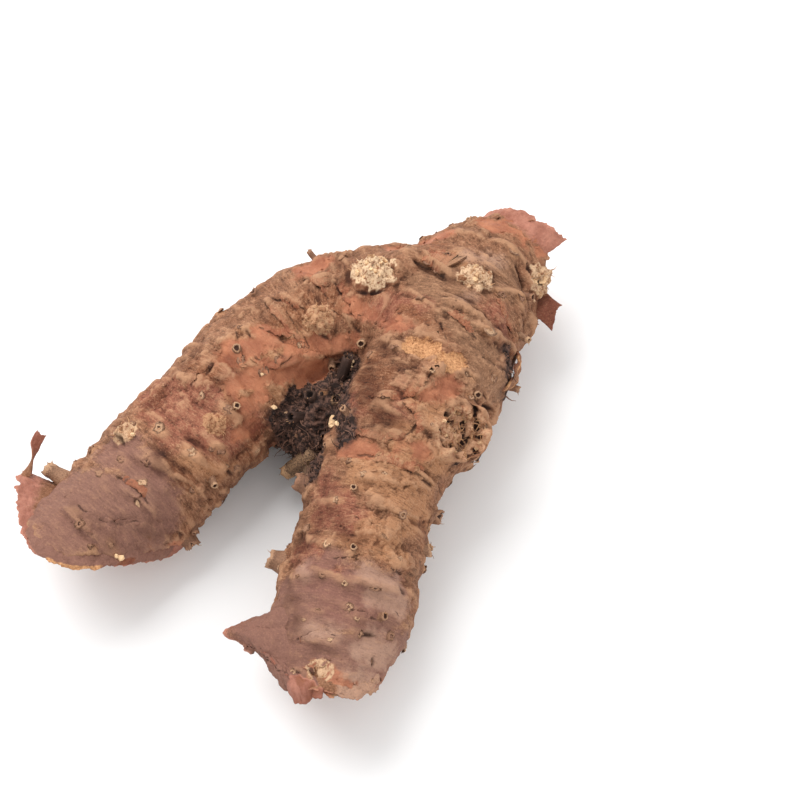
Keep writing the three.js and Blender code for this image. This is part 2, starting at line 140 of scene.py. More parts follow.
class Noise:
    """Seeded gradient noise and cell noise over arrays of points in mm."""

    def __init__(self, seed: int) -> None:
        """Draws the tables from the seed."""
        rng = np.random.default_rng(seed)
        self.table = np.tile(rng.permutation(256), 2)
        self.gradients = unit(rng.normal(size=(256, 3)))
        self.jitter = rng.random((256, 3))

    def _mark(self, cell: Array) -> Array:
        """A table entry from 0 to 255 for each whole-number cell."""
        x, y, z = (cell & 255).T
        return self.table[self.table[self.table[x] + y] + z]

    def value(self, points: Array, size: float | Triple) -> Array:
        """Gradient noise from about -1 to 1: slopes at the cell corners, mixed by an eased weight.

        Args:
            points: places, N x 3.
            size: size of a feature in mm, one number or one for each axis.
        Returns:
            N numbers.
        """
        place = points / np.asarray(size, float)
        cell = np.floor(place).astype(np.int64)
        inside = place - cell
        ease = inside**3 * (inside * (inside * 6 - 15) + 10)
        total = np.zeros(len(points))
        for corner in np.ndindex(2, 2, 2):
            step = np.array(corner)
            slope = self.gradients[self._mark(cell + step)]
            weight = np.prod(np.where(step, ease, 1 - ease), axis=1)
            total += weight * np.einsum("ij,ij->i", slope, inside - step)
        return 1.7 * total

    def layered(self, points: Array, size: float, octaves: int = 3, gain: float = 0.5) -> Array:
        """Sum of ever finer noise, each octave half the size and gain times the height of the last."""
        total = np.zeros(len(points))
        for octave in range(octaves):
            total += gain**octave * self.value(points + 31.7 * octave, size / 2**octave)
        return total

    def cells(self, points: Array, size: float) -> tuple[Array, Array, Array]:
        """Cell noise: distances in cells to the nearest and second nearest of scattered seeds.

        Args:
            points: places, N x 3.
            size: spacing of the seeds in mm.
        Returns:
            The nearest distance, the second nearest, and the nearest seed's own draw from 0 to 1.
        """
        place = points / size
        cell = np.floor(place).astype(np.int64)
        first = np.full(len(points), np.inf)
        second = first.copy()
        own = np.zeros(len(points))
        for corner in np.ndindex(3, 3, 3):
            near = cell + np.array(corner) - 1
            mark = self._mark(near)
            gap = np.linalg.norm(near + self.jitter[mark] - place, axis=1)
            closer = gap < first
            second = np.where(closer, first, np.minimum(second, gap))
            own = np.where(closer, mark / 255, own)
            first = np.where(closer, gap, first)
        return first, second, own


@dataclass(frozen=True)
class PhotoCamera:
    """The photograph's viewpoint: it looks down on the root along +Y."""

    target: Triple = (25.8, 14.3, 16.0)
    distance: float = 433.3
    elevation: float = 60.0
    lens: float = 75.0
    sensor: float = 36.0
    width: float = 800.0
    height: float = 799.0

    def axes(self) -> tuple[Array, Array, Array]:
        """Unit vectors to the picture's right, to its top and into it."""
        lift = math.radians(self.elevation)
        right = np.array([1.0, 0.0, 0.0])
        up = np.array([0.0, math.sin(lift), math.cos(lift)])
        ahead = np.array([0.0, math.cos(lift), -math.sin(lift)])
        return right, up, ahead

    def position(self) -> Array:
        """Where the camera stands."""
        return np.array(self.target) - self.distance * self.axes()[2]

    def ray(self, spot: Spot) -> Array:
        """Unit direction of the line of sight through a pixel."""
        right, up, ahead = self.axes()
        focal = self.lens / self.sensor * self.width
        aside = (spot[0] - self.width / 2) / focal
        return unit(ahead + aside * right + (self.height / 2 - spot[1]) / focal * up)

    def place(self) -> None:
        """Makes the scene's camera."""
        data = bpy.data.cameras.new("photo_camera")
        data.lens = self.lens
        data.sensor_width = self.sensor
        data.clip_start = 0.01
        camera = join(bpy.data.objects.new("photo_camera", data))
        camera.location = Vector(self.position() * MM)
        camera.rotation_euler = (math.radians(90 - self.elevation), 0, 0)
        bpy.context.scene.camera = camera


@dataclass(frozen=True)
class Cut:
    """How far an end's top edge (over) and left edge (aside) run past its middle, in half sizes."""

    over: float
    aside: float


@dataclass
class Limb:
    """A limb as an ellipse carried along a spline through its stations: x, y, z, half width, half height."""

    stations: tuple[tuple[float, ...], ...]
    foot: Cut
    head: Cut
    slant: float
    phase: float

    def __post_init__(self) -> None:
        """Works out the spline's length table, with both ends carried on by reflection."""
        rows = np.array(self.stations, float)
        rows[:, :3] += MIDDLE
        self.knots = np.vstack([2 * rows[0] - rows[1], rows, 2 * rows[-1] - rows[-2]])
        self.table = np.linspace(0, 1, 24 * (len(rows) - 1) + 1)
        steps = np.diff(self.curve(self.table)[0][:, :3], axis=0)
        self.lengths = np.concatenate([[0.0], np.cumsum(np.linalg.norm(steps, axis=1))])
        self.length = float(self.lengths[-1])

    def curve(self, t: Array) -> Pair:
        """Uniform Catmull-Rom spline: the stations' five values and their slopes at t from 0 to 1."""
        spans = len(self.knots) - 3
        place = np.clip(t, 0, 1) * spans
        i = np.minimum(place.astype(int), spans - 1)
        w = (place - i)[:, None]
        a, b, c, d = (self.knots[i + k] for k in range(4))
        start, end = (c - a) / 2, (d - b) / 2
        square = 3 * (c - b) - 2 * start - end
        cube = 2 * (b - c) + start + end
        return b + w * (start + w * (square + w * cube)), start + w * (2 * square + 3 * w * cube)

    def frame(self, s: Array) -> tuple[Array, Array, Array, Array, Array]:
        """Where the limb is and how it lies at some lengths; past its ends it runs straight on.

        Args:
            s: lengths in mm, N.
        Returns:
            Middles, unit vectors to the left, up and along, N x 3 each, and the two half sizes, N x 2.
        """
        inside = np.clip(s, 0, self.length)
        value, slope = self.curve(np.interp(inside, self.lengths, self.table))
        along = unit(slope[:, :3])
        left = unit(np.stack([-along[:, 1], along[:, 0], np.zeros(len(s))], axis=1))
        middle = value[:, :3] + along * (s - inside)[:, None]
        return middle, left, np.cross(along, left), along, value[:, 3:]

    def at(self, s: Array, phi: Array, lift: Array = 0.0) -> Array:
        """Points at length s and angle phi, raised by lift over the ellipse, in the shape of the inputs."""
        s, phi, lift = np.broadcast_arrays(s, phi, lift)
        shape = s.shape
        s, phi, lift = s.ravel(), phi.ravel()[:, None], lift.ravel()[:, None]
        middle, left, up, _, half = self.frame(s.astype(float))
        point = middle + left * (half[:, :1] + lift) * np.cos(phi) + up * (half[:, 1:] + lift) * np.sin(phi)
        return point.reshape(*shape, 3)

    def foot_edge(self, phi: Array) -> Array:
        """Length at which the foot's cut crosses the skin."""
        wide, high = self.knots[1][3:]
        return -(self.foot.over * high * np.sin(phi) + self.foot.aside * wide * np.cos(phi))

    def head_edge(self, phi: Array) -> Array:
        """Length at which the head's cut crosses the skin."""
        wide, high = self.knots[-2][3:]
        return self.length + self.head.over * high * np.sin(phi) + self.head.aside * wide * np.cos(phi)

    def bark_height(self, s: Array, phi: Array) -> Array:
        """Rounded rings that slant, wander and fade, on slow swellings, in mm over the plain limb."""
        wander = self.slant * np.cos(phi - 0.6) + 0.9 * np.sin(2 * phi + 0.11 * s + self.phase)
        ridge = np.abs(np.sin(np.pi * (s + wander) / RIDGE_PITCH)) ** 0.8 - 0.6
        strength = 0.6 + 0.4 * np.sin(phi + 0.083 * s + self.phase) * np.cos(2 * phi - 0.06 * s)
        lumps = (
            0.5 * np.sin(2 * phi + 0.071 * s + self.phase)
            + 0.35 * np.sin(3 * phi - 0.13 * s + 1.9 * self.phase)
            + 0.3 * np.cos(phi + 0.19 * s + 0.7)
        )
        return RIDGE_HEIGHT * strength * ridge + LUMP_HEIGHT * lumps

    def skin(self, s: Array, phi: Array, lift: Array = 0.0) -> Array:
        """Points on the bark, raised by lift."""
        return self.at(s, phi, self.bark_height(s, phi) + lift)

    def out(self, s: float, phi: float) -> Array:
        """Unit vector straight out of the skin."""
        return unit(self.at(np.array(s), phi, 1.0) - self.at(np.array(s), phi))

    def locate(self, points: Array) -> tuple[Array, Array, Array, Array]:
        """Finds each point's s and phi: the nearest middle point, then steps along the tangent.

        Args:
            points: places, N x 3.
        Returns:
            s, phi, the gap to the plain ellipse in mm, and the point's grain coordinates (s and the two
            distances across the limb), N x 3.
        """
        guesses = np.linspace(-15, self.length + 15, 240)
        middles = self.frame(guesses)[0]
        s = np.empty(len(points))
        for part in np.array_split(np.arange(len(points)), 40):
            gaps = ((points[part, None] - middles[None]) ** 2).sum(axis=2)
            s[part] = guesses[gaps.argmin(axis=1)]
        for _ in range(4):
            middle, _, _, along, _ = self.frame(s)
            s = s + 0.8 * np.einsum("ij,ij->i", points - middle, along)
        middle, left, up, _, half = self.frame(s)
        x = np.einsum("ij,ij->i", points - middle, left)
        y = np.einsum("ij,ij->i", points - middle, up)
        wide, high = half.T
        gap = (np.hypot(x / wide, y / high) - 1) * np.sqrt(wide * high)
        return s, np.arctan2(y / high, x / wide), gap, np.stack([s, x, y], axis=1)


STEM = Limb(
    stations=(
        (-16.3, -71, 13.0, 14.4, 13.4),
        (-15.2, -64, 13.9, 16.2, 14.8),
        (-13.4, -56, 14.8, 16.6, 15.2),
        (-10.8, -45.6, 16.6, 16.2, 15.0),
        (-8.5, -35.2, 17.6, 15.9, 15.0),
        (-4.5, -23.5, 19.0, 16.4, 15.6),
        (1.5, -9.5, 20.0, 18.0, 17.0),
        (8.0, 4.0, 20.0, 19.6, 18.0),
        (12.4, 19.4, 18.4, 19.8, 18.2),
        (18.8, 33.0, 16.6, 19.8, 17.0),
        (30.0, 43.6, 15.6, 14.6, 13.8),
    ),
    foot=Cut(0.85, -0.05),
    head=Cut(0.38, 0.05),
    slant=2.6,
    phase=0.4,
)
ARM = Limb(
    stations=(
        (6.0, 13.0, 19.6, 14.5, 14.0),
        (-5.0, 20.5, 19.8, 16.0, 15.0),
        (-19.8, 22.9, 19.4, 16.4, 14.8),
        (-30.5, 16.4, 18.4, 16.0, 14.4),
        (-39.2, 8.2, 17.8, 16.4, 14.8),
        (-43.9, 1.7, 17.2, 16.5, 14.8),
        (-48.8, -5.0, 16.6, 16.6, 15.0),
        (-53.8, -11.4, 15.8, 16.8, 15.2),
        (-60.5, -19.2, 14.5, 16.9, 15.4),
        (-66.2, -26.2, 14.0, 16.4, 15.2),
        (-73.5, -34.8, 14.0, 15.4, 14.6),
    ),
    foot=Cut(0.0, 0.0),
    head=Cut(1.2, -0.2),
    slant=-2.0,
    phase=2.1,
)


class Surface:
    """Grids of points in mm, with fields on them, collected into one closed mesh."""

    def __init__(self) -> None:
        """Starts empty."""
        self.points: list[Array] = []
        self.fields: list[dict[str, Array]] = []
        self.quads: list[Array] = []
        self.fans: list[Array] = []
        self.count = 0

    def _store(self, points: Array, fields: dict[str, Array]) -> Array:
        """Keeps points and their fields, and gives their numbers in the same layout."""
        shape = points.shape[:-1]
        numbers = self.count + np.arange(math.prod(shape)).reshape(shape)
        self.count += numbers.size
        self.points.append(points.reshape(-1, 3))
        self.fields.append({name: np.broadcast_to(v, shape).ravel() for name, v in fields.items()})
        return numbers

    def _join(self, first: int, quads: Array, fans: Array) -> None:
        """Keeps faces of the points stored from first on, turned so that they enclose a volume above 0."""
        points = np.concatenate(self.points[first:])
        start = self.count - len(points)
        corners = np.concatenate([quads[:, :3], quads[:, [0, 2, 3]], fans]) - start
        a, b, c = (points[corners] - points[0]).transpose(1, 0, 2)
        if np.einsum("ij,ij->", a, np.cross(b, c)) < 0:
            quads, fans = quads[:, ::-1], fans[:, ::-1]
        self.quads.append(quads)
        self.fans.append(fans)

    def tube(self, grid: Array, **fields: Array) -> None:
        """Adds tubes closed along the columns, each end closed by a fan from the middle of its last row.

        Args:
            grid: copies x rows x columns x 3.
            fields: numbers that fit copies x rows x columns.
        """
        first = len(self.points)
        numbers = self._store(grid, fields)
        beside = np.roll(numbers, -1, axis=2)
        quads = np.stack([numbers[:, :-1], beside[:, :-1], beside[:, 1:], numbers[:, 1:]], axis=-1)
        fans = []
        for row, (left, right) in ((0, (beside, numbers)), (-1, (numbers, beside))):
            means = {n: np.broadcast_to(v, grid.shape[:-1])[:, row].mean(axis=1) for n, v in fields.items()}
            pole = self._store(grid[:, row].mean(axis=1), means)[:, None]
            fan = [np.broadcast_to(pole, left[:, row].shape), left[:, row], right[:, row]]
            fans.append(np.stack(fan, axis=-1).reshape(-1, 3))
        self._join(first, quads.reshape(-1, 4), np.concatenate(fans))

    def sheet(self, grid: Array, thick: Array, **fields: Array) -> None:
        """Adds thin closed sheets: the grid pushed both ways along its normals and joined round the edge.

        Args:
            grid: copies x rows x columns x 3, the middle of the sheet.
            thick: thickness in mm that fits copies x rows x columns.
            fields: numbers that fit copies x rows x columns. A field named under is added, 1 underneath.
        """
        first = len(self.points)
        normal = unit(np.cross(np.gradient(grid, axis=1), np.gradient(grid, axis=2)))
        half = normal * np.broadcast_to(np.asarray(thick) / 2, grid.shape[:-1])[..., None]
        top = self._store(grid + half, {**fields, "under": 0.0})
        low = self._store(grid - half, {**fields, "under": 1.0})
        strips = [
            (top[:, :-1, :-1], top[:, 1:, :-1], top[:, 1:, 1:], top[:, :-1, 1:]),
            (low[:, :-1, :-1], low[:, :-1, 1:], low[:, 1:, 1:], low[:, 1:, :-1]),
            (top[:, 1:, 0], top[:, :-1, 0], low[:, :-1, 0], low[:, 1:, 0]),
            (top[:, :-1, -1], top[:, 1:, -1], low[:, 1:, -1], low[:, :-1, -1]),
            (top[:, 0, :-1], top[:, 0, 1:], low[:, 0, 1:], low[:, 0, :-1]),
            (top[:, -1, 1:], top[:, -1, :-1], low[:, -1, :-1], low[:, -1, 1:]),
        ]
        quads = np.concatenate([np.stack(strip, axis=-1).reshape(-1, 4) for strip in strips])
        self._join(first, quads, np.empty((0, 3), int))

    def mesh(self, name: str) -> Mesh:
        """Makes the mesh in metres, faces outwards, with every field as an attribute."""
        points = np.clip(np.concatenate(self.points), *(np.array(CAD_BOX) / MM))
        quads = np.concatenate(self.quads)
        fans = np.concatenate(self.fans)
        mesh = bpy.data.meshes.new(name)
        mesh.vertices.add(len(points))
        mesh.vertices.foreach_set("co", (points * MM).ravel())
        loops = np.concatenate([quads.ravel(), fans.ravel()])
        starts = np.concatenate([np.arange(len(quads)) * 4, quads.size + np.arange(len(fans)) * 3])
        mesh.loops.add(len(loops))
        mesh.loops.foreach_set("vertex_index", loops)
        mesh.polygons.add(len(starts))
        mesh.polygons.foreach_set("loop_start", starts)
        mesh.update(calc_edges=True)
        mesh.shade_smooth()
        for key in sorted({key for fields in self.fields for key in fields}):
            parts = [f.get(key, np.zeros(len(p))) for f, p in zip(self.fields, self.points)]
            set_field(mesh, key, np.concatenate(parts))
        return mesh

    def piece(self, name: str, finish: Material, slot: str) -> None:
        """Makes the mesh a piece of the root."""
        add_piece(name, self.mesh(name), finish)


def join(thing: bpy.types.Object) -> bpy.types.Object:
    """Puts an object into the scene."""
    bpy.context.scene.collection.objects.link(thing)
    return thing


def set_field(mesh: Mesh, name: str, values: Array) -> None:
    """Writes a number or a vector for each point as an attribute."""
    kind = "FLOAT" if values.ndim == 1 else "FLOAT_VECTOR"
    key = "value" if values.ndim == 1 else "vector"
    mesh.attributes.new(name, kind, "POINT").data.foreach_set(key, values.astype(np.float32).ravel())


def add_piece(name: str, mesh: Mesh, finish: Material) -> None:
    """Makes a piece of the root: it rides on the body, stands for the CAD node and reports itself."""
    mesh.materials.append(finish)
    piece = join(bpy.data.objects.new(name, mesh))
    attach(piece, BODY)
    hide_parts(NODE)
    triangles = sum(len(p.vertices) - 2 for p in mesh.polygons)
    log.info("%s: %d triangles", name, triangles)


@dataclass(frozen=True)
class Swelling:
    """A lumpy rounded body that thickens the fork."""

    middle: Triple
    half: Triple
    turn: float

    def _axes(self) -> Pair:
        """Middle and turning matrix."""
        c, s = math.cos(math.radians(self.turn)), math.sin(math.radians(self.turn))
        return np.array(self.middle) + MIDDLE, np.array([[c, -s, 0], [s, c, 0], [0, 0, 1]])

    def grid(self) -> Array:
        """A ball by latitude and longitude, swollen and dented by sines, stretched and turned."""
        down = np.linspace(0.03, np.pi - 0.03, 40)[:, None]
        turn = np.linspace(0, 2 * np.pi, 64, endpoint=False)
        x, y = np.sin(down) * np.cos(turn), np.sin(down) * np.sin(turn)
        z = np.broadcast_to(np.cos(down), x.shape)
        lump = 1 + 0.08 * np.sin(6 * x + 1) * np.sin(7 * y) + 0.06 * np.sin(8 * z + 4 * x)
        middle, axes = self._axes()
        return ((np.stack([x, y, z], axis=-1) * lump[..., None] * self.half) @ axes.T + middle)[None]

    def gap(self, points: Array) -> Array:
        """Rough distance of points from its skin, less than 0 inside."""
        middle, turn = self._axes()
        reach = np.linalg.norm(((points - middle) @ turn) / self.half, axis=1)
        return (reach - 1) * min(self.half)


@dataclass(frozen=True)
class Stump:
    """A tapering stump with a dished tip."""

    foot: Triple
    tip: Triple
    foot_radius: float
    tip_radius: float
    dish: float

    def _line(self) -> tuple[Array, Array, float]:
        """Foot, unit axis and length."""
        foot, tip = np.array(self.foot) + MIDDLE, np.array(self.tip) + MIDDLE
        length = float(np.linalg.norm(tip - foot))
        return foot, (tip - foot) / length, length

    def grid(self, rows: int = 30, sides: int = 72) -> Array:
        """Rings whose radius and height follow the side, the rim and the dish."""
        foot, axis, length = self._line()
        mark = np.linspace(0, 1, rows)
        stops = (0, 0.62, 0.72, 0.86, 1)
        heights = (0, length, length, length - self.dish * 0.8, length - self.dish)
        radii = (self.foot_radius, *(self.tip_radius * share for share in (1, 0.8, 0.62)), 0.1)
        turn = np.linspace(0, 2 * np.pi, sides, endpoint=False)
        rough = 1 + 0.07 * np.sin(2 * turn + self.tip_radius) + 0.03 * np.sin(5 * turn)
        far = np.interp(mark, stops, radii)[:, None] * rough
        height = np.interp(mark, stops, heights)
        return (foot + height[:, None, None] * axis + far[..., None] * ring(axis, turn))[None]

    def measure(self, points: Array) -> Pair:
        """How far points lie past its tip, below 0 on the foot's side, and how far from its axis."""
        foot, axis, length = self._line()
        along = (points - foot) @ axis
        return along - length, np.linalg.norm(points - foot - along[:, None] * axis, axis=1)

    def gap(self, points: Array) -> Array:
        """Rough distance of points from its side."""
        past, away = self.measure(points)
        side = away - np.interp(past, [-self._line()[2], 0], [self.foot_radius, self.tip_radius])
        return np.maximum(side, past)


SHOULDER = Swelling((0.5, 27.5, 18.0), (20, 17.5, 15.8), 8)
CROTCH = Swelling((-18.5, -4.5, 14), (14, 12, 12), 30)
BROKEN_SHOOT = Stump((9.5, -11.5, 16), (16, -18, 31.5), 10.5, 8.0, 3.6)


class Tone(StrEnum):
    """Tones of skin, each the name of a field on the rhizome. The dark tone is painted shade, the slot tone
    darkens grooves as painted shade, and the ash tone is pale greyish pink, partly painted highlight.
    """

    SALMON = auto()
    PINK = auto()
    TAN = auto()
    OCHRE = auto()
    GREY = auto()
    RED = auto()
    PALE = auto()
    EARTH = auto()
    DARK = auto()
    WARM = auto()
    ASH = auto()
    MAUVE = auto()
    SLOT = auto()


class ScarKind(Enum):
    """What a broken shoot base has become."""

    CRUMBLY = "pale crumbs heaped in it"
    CRATER = "a rim round a dished middle"
    KNOB = "a barky knob"
    STUB = "a standing stub"


@dataclass(frozen=True)
class Scar:
    """A broken shoot base on a limb: length along it, angle in degrees, radius and height in mm, and how
    pale its crumbs are, from 0 to 1."""

    limb: Limb
    s: float
    angle: float
    radius: float
    height: float
    kind: ScarKind
    pale: float = 0.5

    def middle(self) -> Array:
        """Its middle on the bark."""
        return self.limb.skin(np.array(self.s), math.radians(self.angle))

    def out(self) -> Array:
        """Unit vector out of the bark."""
        return self.limb.out(self.s, math.radians(self.angle))


SCARS = (
    Scar(STEM, 102, 103, 4.2, 1.4, ScarKind.CRUMBLY, 0.8),
    Scar(ARM, 16.4, 110, 5.2, 2.4, ScarKind.CRUMBLY, 1.0),
    Scar(ARM, 26, 141, 4.4, 2.2, ScarKind.KNOB),
    Scar(ARM, 33, 62, 3.6, 1.3, ScarKind.CRUMBLY, 0.25),
    Scar(ARM, 90, 117, 3.2, 1.6, ScarKind.CRUMBLY, 0.55),
    Scar(ARM, 74.5, 62, 3.0, 1.0, ScarKind.CRUMBLY, 0.15),
    Scar(STEM, -5.6, 86, 2.9, 0.8, ScarKind.CRATER, 0.55),
    Scar(STEM, 124, 149, 4.2, 1.2, ScarKind.CRUMBLY, 0.75),
    Scar(STEM, 21, 2, 2.4, 4.2, ScarKind.STUB),
    Scar(STEM, 40, 8, 2.4, 3.4, ScarKind.STUB),
    Scar(STEM, 31, 176, 1.9, 2.2, ScarKind.STUB),
    Scar(STEM, 42, 172, 1.9, 2.0, ScarKind.STUB),
    Scar(ARM, 107.5, 168, 2.1, 5.5, ScarKind.STUB),
    Scar(ARM, 97.5, -14, 2.0, 2.6, ScarKind.STUB),
    Scar(STEM, 62, 252, 4.0, 1.2, ScarKind.CRUMBLY, 0.3),
    Scar(ARM, 58, 256, 3.6, 1.1, ScarKind.CRUMBLY, 0.4),
    Scar(STEM, 92, 300, 3.8, 1.3, ScarKind.KNOB),
)

# Patches of each tone: two spots of the photograph and the half width in mm round the line between them
PATCHES = {
    Tone.SALMON: (
        (232, 356, 270, 340, 4), (308, 270, 322, 262, 3.4), (396, 249, 444, 233, 2.6),
        (490, 222, 540, 240, 4), (352, 444, 424, 450, 2), (290, 688, 310, 697, 3),
        (350, 306, 404, 326, 2.6), (430, 396, 452, 386, 2.4), (156, 556, 176, 546, 2.8),
        (345, 448, 372, 452, 2.6), (272, 372, 318, 366, 4.6), (292, 344, 344, 346, 3.6),
        (238, 436, 252, 430, 3), (240, 384, 262, 376, 3.4), (248, 404, 262, 394, 2.8),
    ),
    Tone.RED: (
        (258, 436, 268, 424, 2.6), (152, 404, 158, 392, 2.6),
    ),
    Tone.PINK: (
        (160, 396, 186, 430, 6.5), (206, 436, 250, 430, 6), (200, 398, 240, 378, 5),
        (352, 402, 400, 400, 5), (496, 310, 502, 322, 3), (310, 560, 350, 606, 6), (356, 296, 410, 312, 5),
        (340, 506, 358, 528, 5), (200, 392, 224, 366, 4.4), (324, 480, 326, 520, 3),
    ),
    # The tan patch from (302, 352) to (322, 364) lightens the shaded dip above the nest: painted light
    Tone.TAN: (
        (240, 392, 330, 380, 4.2), (366, 466, 412, 500, 6), (188, 462, 216, 474, 2.4),
        (392, 530, 412, 520, 3), (372, 530, 396, 552, 4.2), (338, 546, 360, 542, 2.4),
        (440, 262, 470, 262, 3), (246, 352, 300, 330, 6), (302, 352, 322, 364, 3), (400, 440, 432, 470, 5),
        (414, 400, 440, 412, 3.4),
    ),
    Tone.OCHRE: (
        (414, 344, 456, 360, 2.9),
    ),
    Tone.GREY: (
        (474, 374, 500, 390, 3.6), (430, 284, 504, 274, 6.5), (452, 320, 484, 352, 5),
        (80, 490, 130, 500, 7), (336, 626, 350, 650, 6.5), (390, 650, 398, 676, 4.6),
    ),
    Tone.PALE: (
        (336, 696, 360, 700, 0.8), (444, 453, 484, 437, 1), (436, 424, 440, 446, 0.6),
    ),
    Tone.EARTH: (
        (506, 352, 504, 396, 2), (352, 364, 346, 432, 3.4), (320, 444, 315, 474, 3.6),
        (276, 418, 290, 462, 2.4),
    ),
    # Painted shade: these patches darken places that lie in shade
    Tone.DARK: (
        (368, 374, 386, 424, 6), (336, 280, 366, 292, 2.6), (272, 316, 306, 332, 2.2),
        (228, 404, 240, 424, 2.4), (162, 462, 178, 478, 4), (318, 392, 340, 372, 2),
        (354, 376, 354, 430, 4), (384, 346, 406, 368, 3.2), (326, 476, 316, 540, 3.2),
        (150, 404, 196, 352, 2.2), (300, 580, 322, 576, 2), (358, 634, 380, 638, 1.6),
        (140, 530, 168, 536, 2), (304, 480, 308, 500, 2.6), (340, 258, 350, 284, 2.8),
        (326, 500, 350, 540, 4), (440, 330, 470, 340, 1.6), (500, 330, 512, 390, 2.6),
        (478, 262, 492, 284, 1.4), (186, 442, 222, 458, 1.2), (154, 452, 182, 480, 2),
        (124, 520, 172, 520, 1.6), (516, 268, 522, 284, 2.2), (440, 268, 454, 282, 2.4),
        (446, 299, 466, 306, 1.6), (307, 466, 302, 545, 4.6), (292, 600, 301, 628, 3),
        (206, 398, 232, 372, 2.2), (290, 664, 320, 648, 1.6), (290, 575, 286, 622, 2.6),
        (72, 508, 112, 544, 2.4),
    ),
    Tone.WARM: (
        (276, 328, 306, 304, 4), (334, 304, 372, 286, 4.6), (368, 372, 380, 400, 5),
        (156, 462, 184, 482, 3), (404, 312, 438, 330, 2.4), (238, 420, 256, 446, 4),
        (206, 372, 226, 362, 3.4),
    ),
    # Pale greyish pink, partly the bark's own and partly painted highlight where foot and crown catch the
    # light
    Tone.ASH: (
        (306, 628, 336, 634, 1.6), (300, 566, 306, 574, 1.4), (368, 574, 394, 588, 2.6),
        (374, 592, 400, 606, 2.6), (374, 650, 396, 674, 4.4), (346, 688, 370, 690, 4),
        (468, 254, 498, 262, 2), (462, 298, 470, 295, 1.2),
    ),
    Tone.MAUVE: (
        (50, 500, 150, 512, 9), (120, 450, 160, 500, 6), (60, 530, 150, 550, 6), (284, 610, 380, 604, 9),
        (300, 660, 390, 660, 9), (250, 640, 290, 660, 5), (300, 575, 330, 560, 4),
    ),
    # Slots: narrow grooves, darkened as painted shade
    Tone.SLOT: (
        (473, 405, 475, 430, 0.8), (447, 414, 453, 424, 1.1), (455, 427, 458, 433, 0.7),
        (456, 451, 479, 435, 0.5), (483, 406, 494, 411, 0.5), (442, 439, 446, 445, 0.7),
        (485, 424, 490, 430, 0.45), (464, 418, 466, 428, 0.3), (356, 291, 366, 294, 0.5),
        (370, 294, 388, 290, 0.45), (336, 276, 342, 296, 0.35), (284, 300, 296, 307, 0.5),
        (525, 262, 530, 275, 0.5), (532, 279, 540, 285, 0.4), (440, 320, 443, 330, 0.4),
        (510, 356, 514, 380, 0.7), (487, 360, 504, 371, 0.3), (464, 371, 467, 376, 0.4),
        (428, 262, 440, 271, 0.35), (455, 310, 462, 312, 0.4), (268, 648, 275, 640, 0.3),
        (358, 633, 378, 637, 0.25), (372, 657, 373, 667, 0.25), (343, 689, 349, 691, 0.6),
        (332, 686, 338, 690, 0.5), (311, 667, 316, 679, 0.3), (317, 680, 326, 682, 0.3),
        (296, 671, 301, 676, 0.35), (134, 499, 141, 505, 0.4), (178, 532, 184, 537, 0.5),
        (186, 451, 194, 456, 0.35), (121, 436, 124, 444, 0.3), (420, 478, 434, 487, 0.35),
        (424, 522, 427, 538, 0.4), (145, 459, 151, 465, 0.4), (100, 520, 124, 524, 0.25),
        (320, 334, 330, 340, 0.4), (344, 357, 352, 366, 0.6), (270, 616, 276, 622, 0.45),
        (226, 470, 236, 478, 0.35), (272, 350, 284, 358, 0.3), (246, 330, 254, 342, 0.3),
        (214, 364, 206, 376, 0.3), (402, 322, 416, 330, 0.3), (352, 322, 360, 332, 0.35),
        (388, 402, 396, 410, 0.25), (338, 524, 348, 530, 0.25), (398, 586, 406, 596, 0.3),
    ),
}

# Edges of bark plates: the step in mm, raised on the right of the line if above 0, and spots on the line
CRACKS = (
    (-0.52, (335, 284), (343, 292), (349, 304)),
    (0.56, (350, 314), (364, 318), (377, 326)),
    (0.54, (335, 313), (343, 320), (349, 331)),
    (-0.60, (278, 299), (290, 303), (303, 309)),
    (0.30, (210, 367), (200, 372), (193, 383)),
    (0.48, (400, 313), (414, 316), (428, 325)),
    (0.30, (437, 321), (440, 329), (446, 337)),
    (0.45, (446, 298), (455, 301), (465, 306)),
    (-0.42, (496, 296), (503, 312), (513, 332)),
    (0.45, (484, 357), (494, 366), (508, 380)),
    (0.30, (470, 377), (476, 386), (484, 398)),
    (-0.50, (341, 440), (352, 435), (368, 436), (386, 441), (402, 437), (412, 430)),
    (-0.50, (362, 454), (389, 462), (408, 469), (422, 477)),
    (0.30, (358, 516), (366, 520), (373, 526), (384, 536)),
    (0.25, (336, 559), (346, 560), (355, 559)),
    (0.35, (357, 550), (373, 562), (389, 568), (399, 574)),
    (0.25, (351, 610), (362, 613), (373, 618)),
    (0.25, (398, 614), (404, 619), (408, 627)),
    (0.35, (80, 508), (93, 517), (113, 522), (136, 521)),
    (-0.55, (266, 303), (272, 312), (284, 323), (295, 336), (303, 348)),
    (0.50, (274, 299), (286, 314), (298, 331), (308, 345)),
    (-0.50, (262, 328), (271, 332), (281, 335), (292, 335)),
    (0.50, (280, 340), (295, 348), (318, 353), (333, 361)),
    (-0.45, (257, 360), (266, 368), (276, 368), (287, 358)),
    (-0.45, (305, 279), (314, 282), (321, 287), (327, 297)),
    (0.35, (236, 334), (239, 348), (244, 364)),
    (-0.40, (417, 259), (430, 266), (443, 275)),
    (-0.40, (446, 312), (462, 322), (474, 336)),
    (-0.35, (372, 396), (392, 400), (410, 396), (424, 384), (430, 374)),
    (-0.35, (404, 404), (414, 412), (418, 424), (412, 432)),
    (0.30, (300, 640), (318, 632), (334, 634)),
    (-0.30, (120, 478), (136, 488), (146, 500)),
)

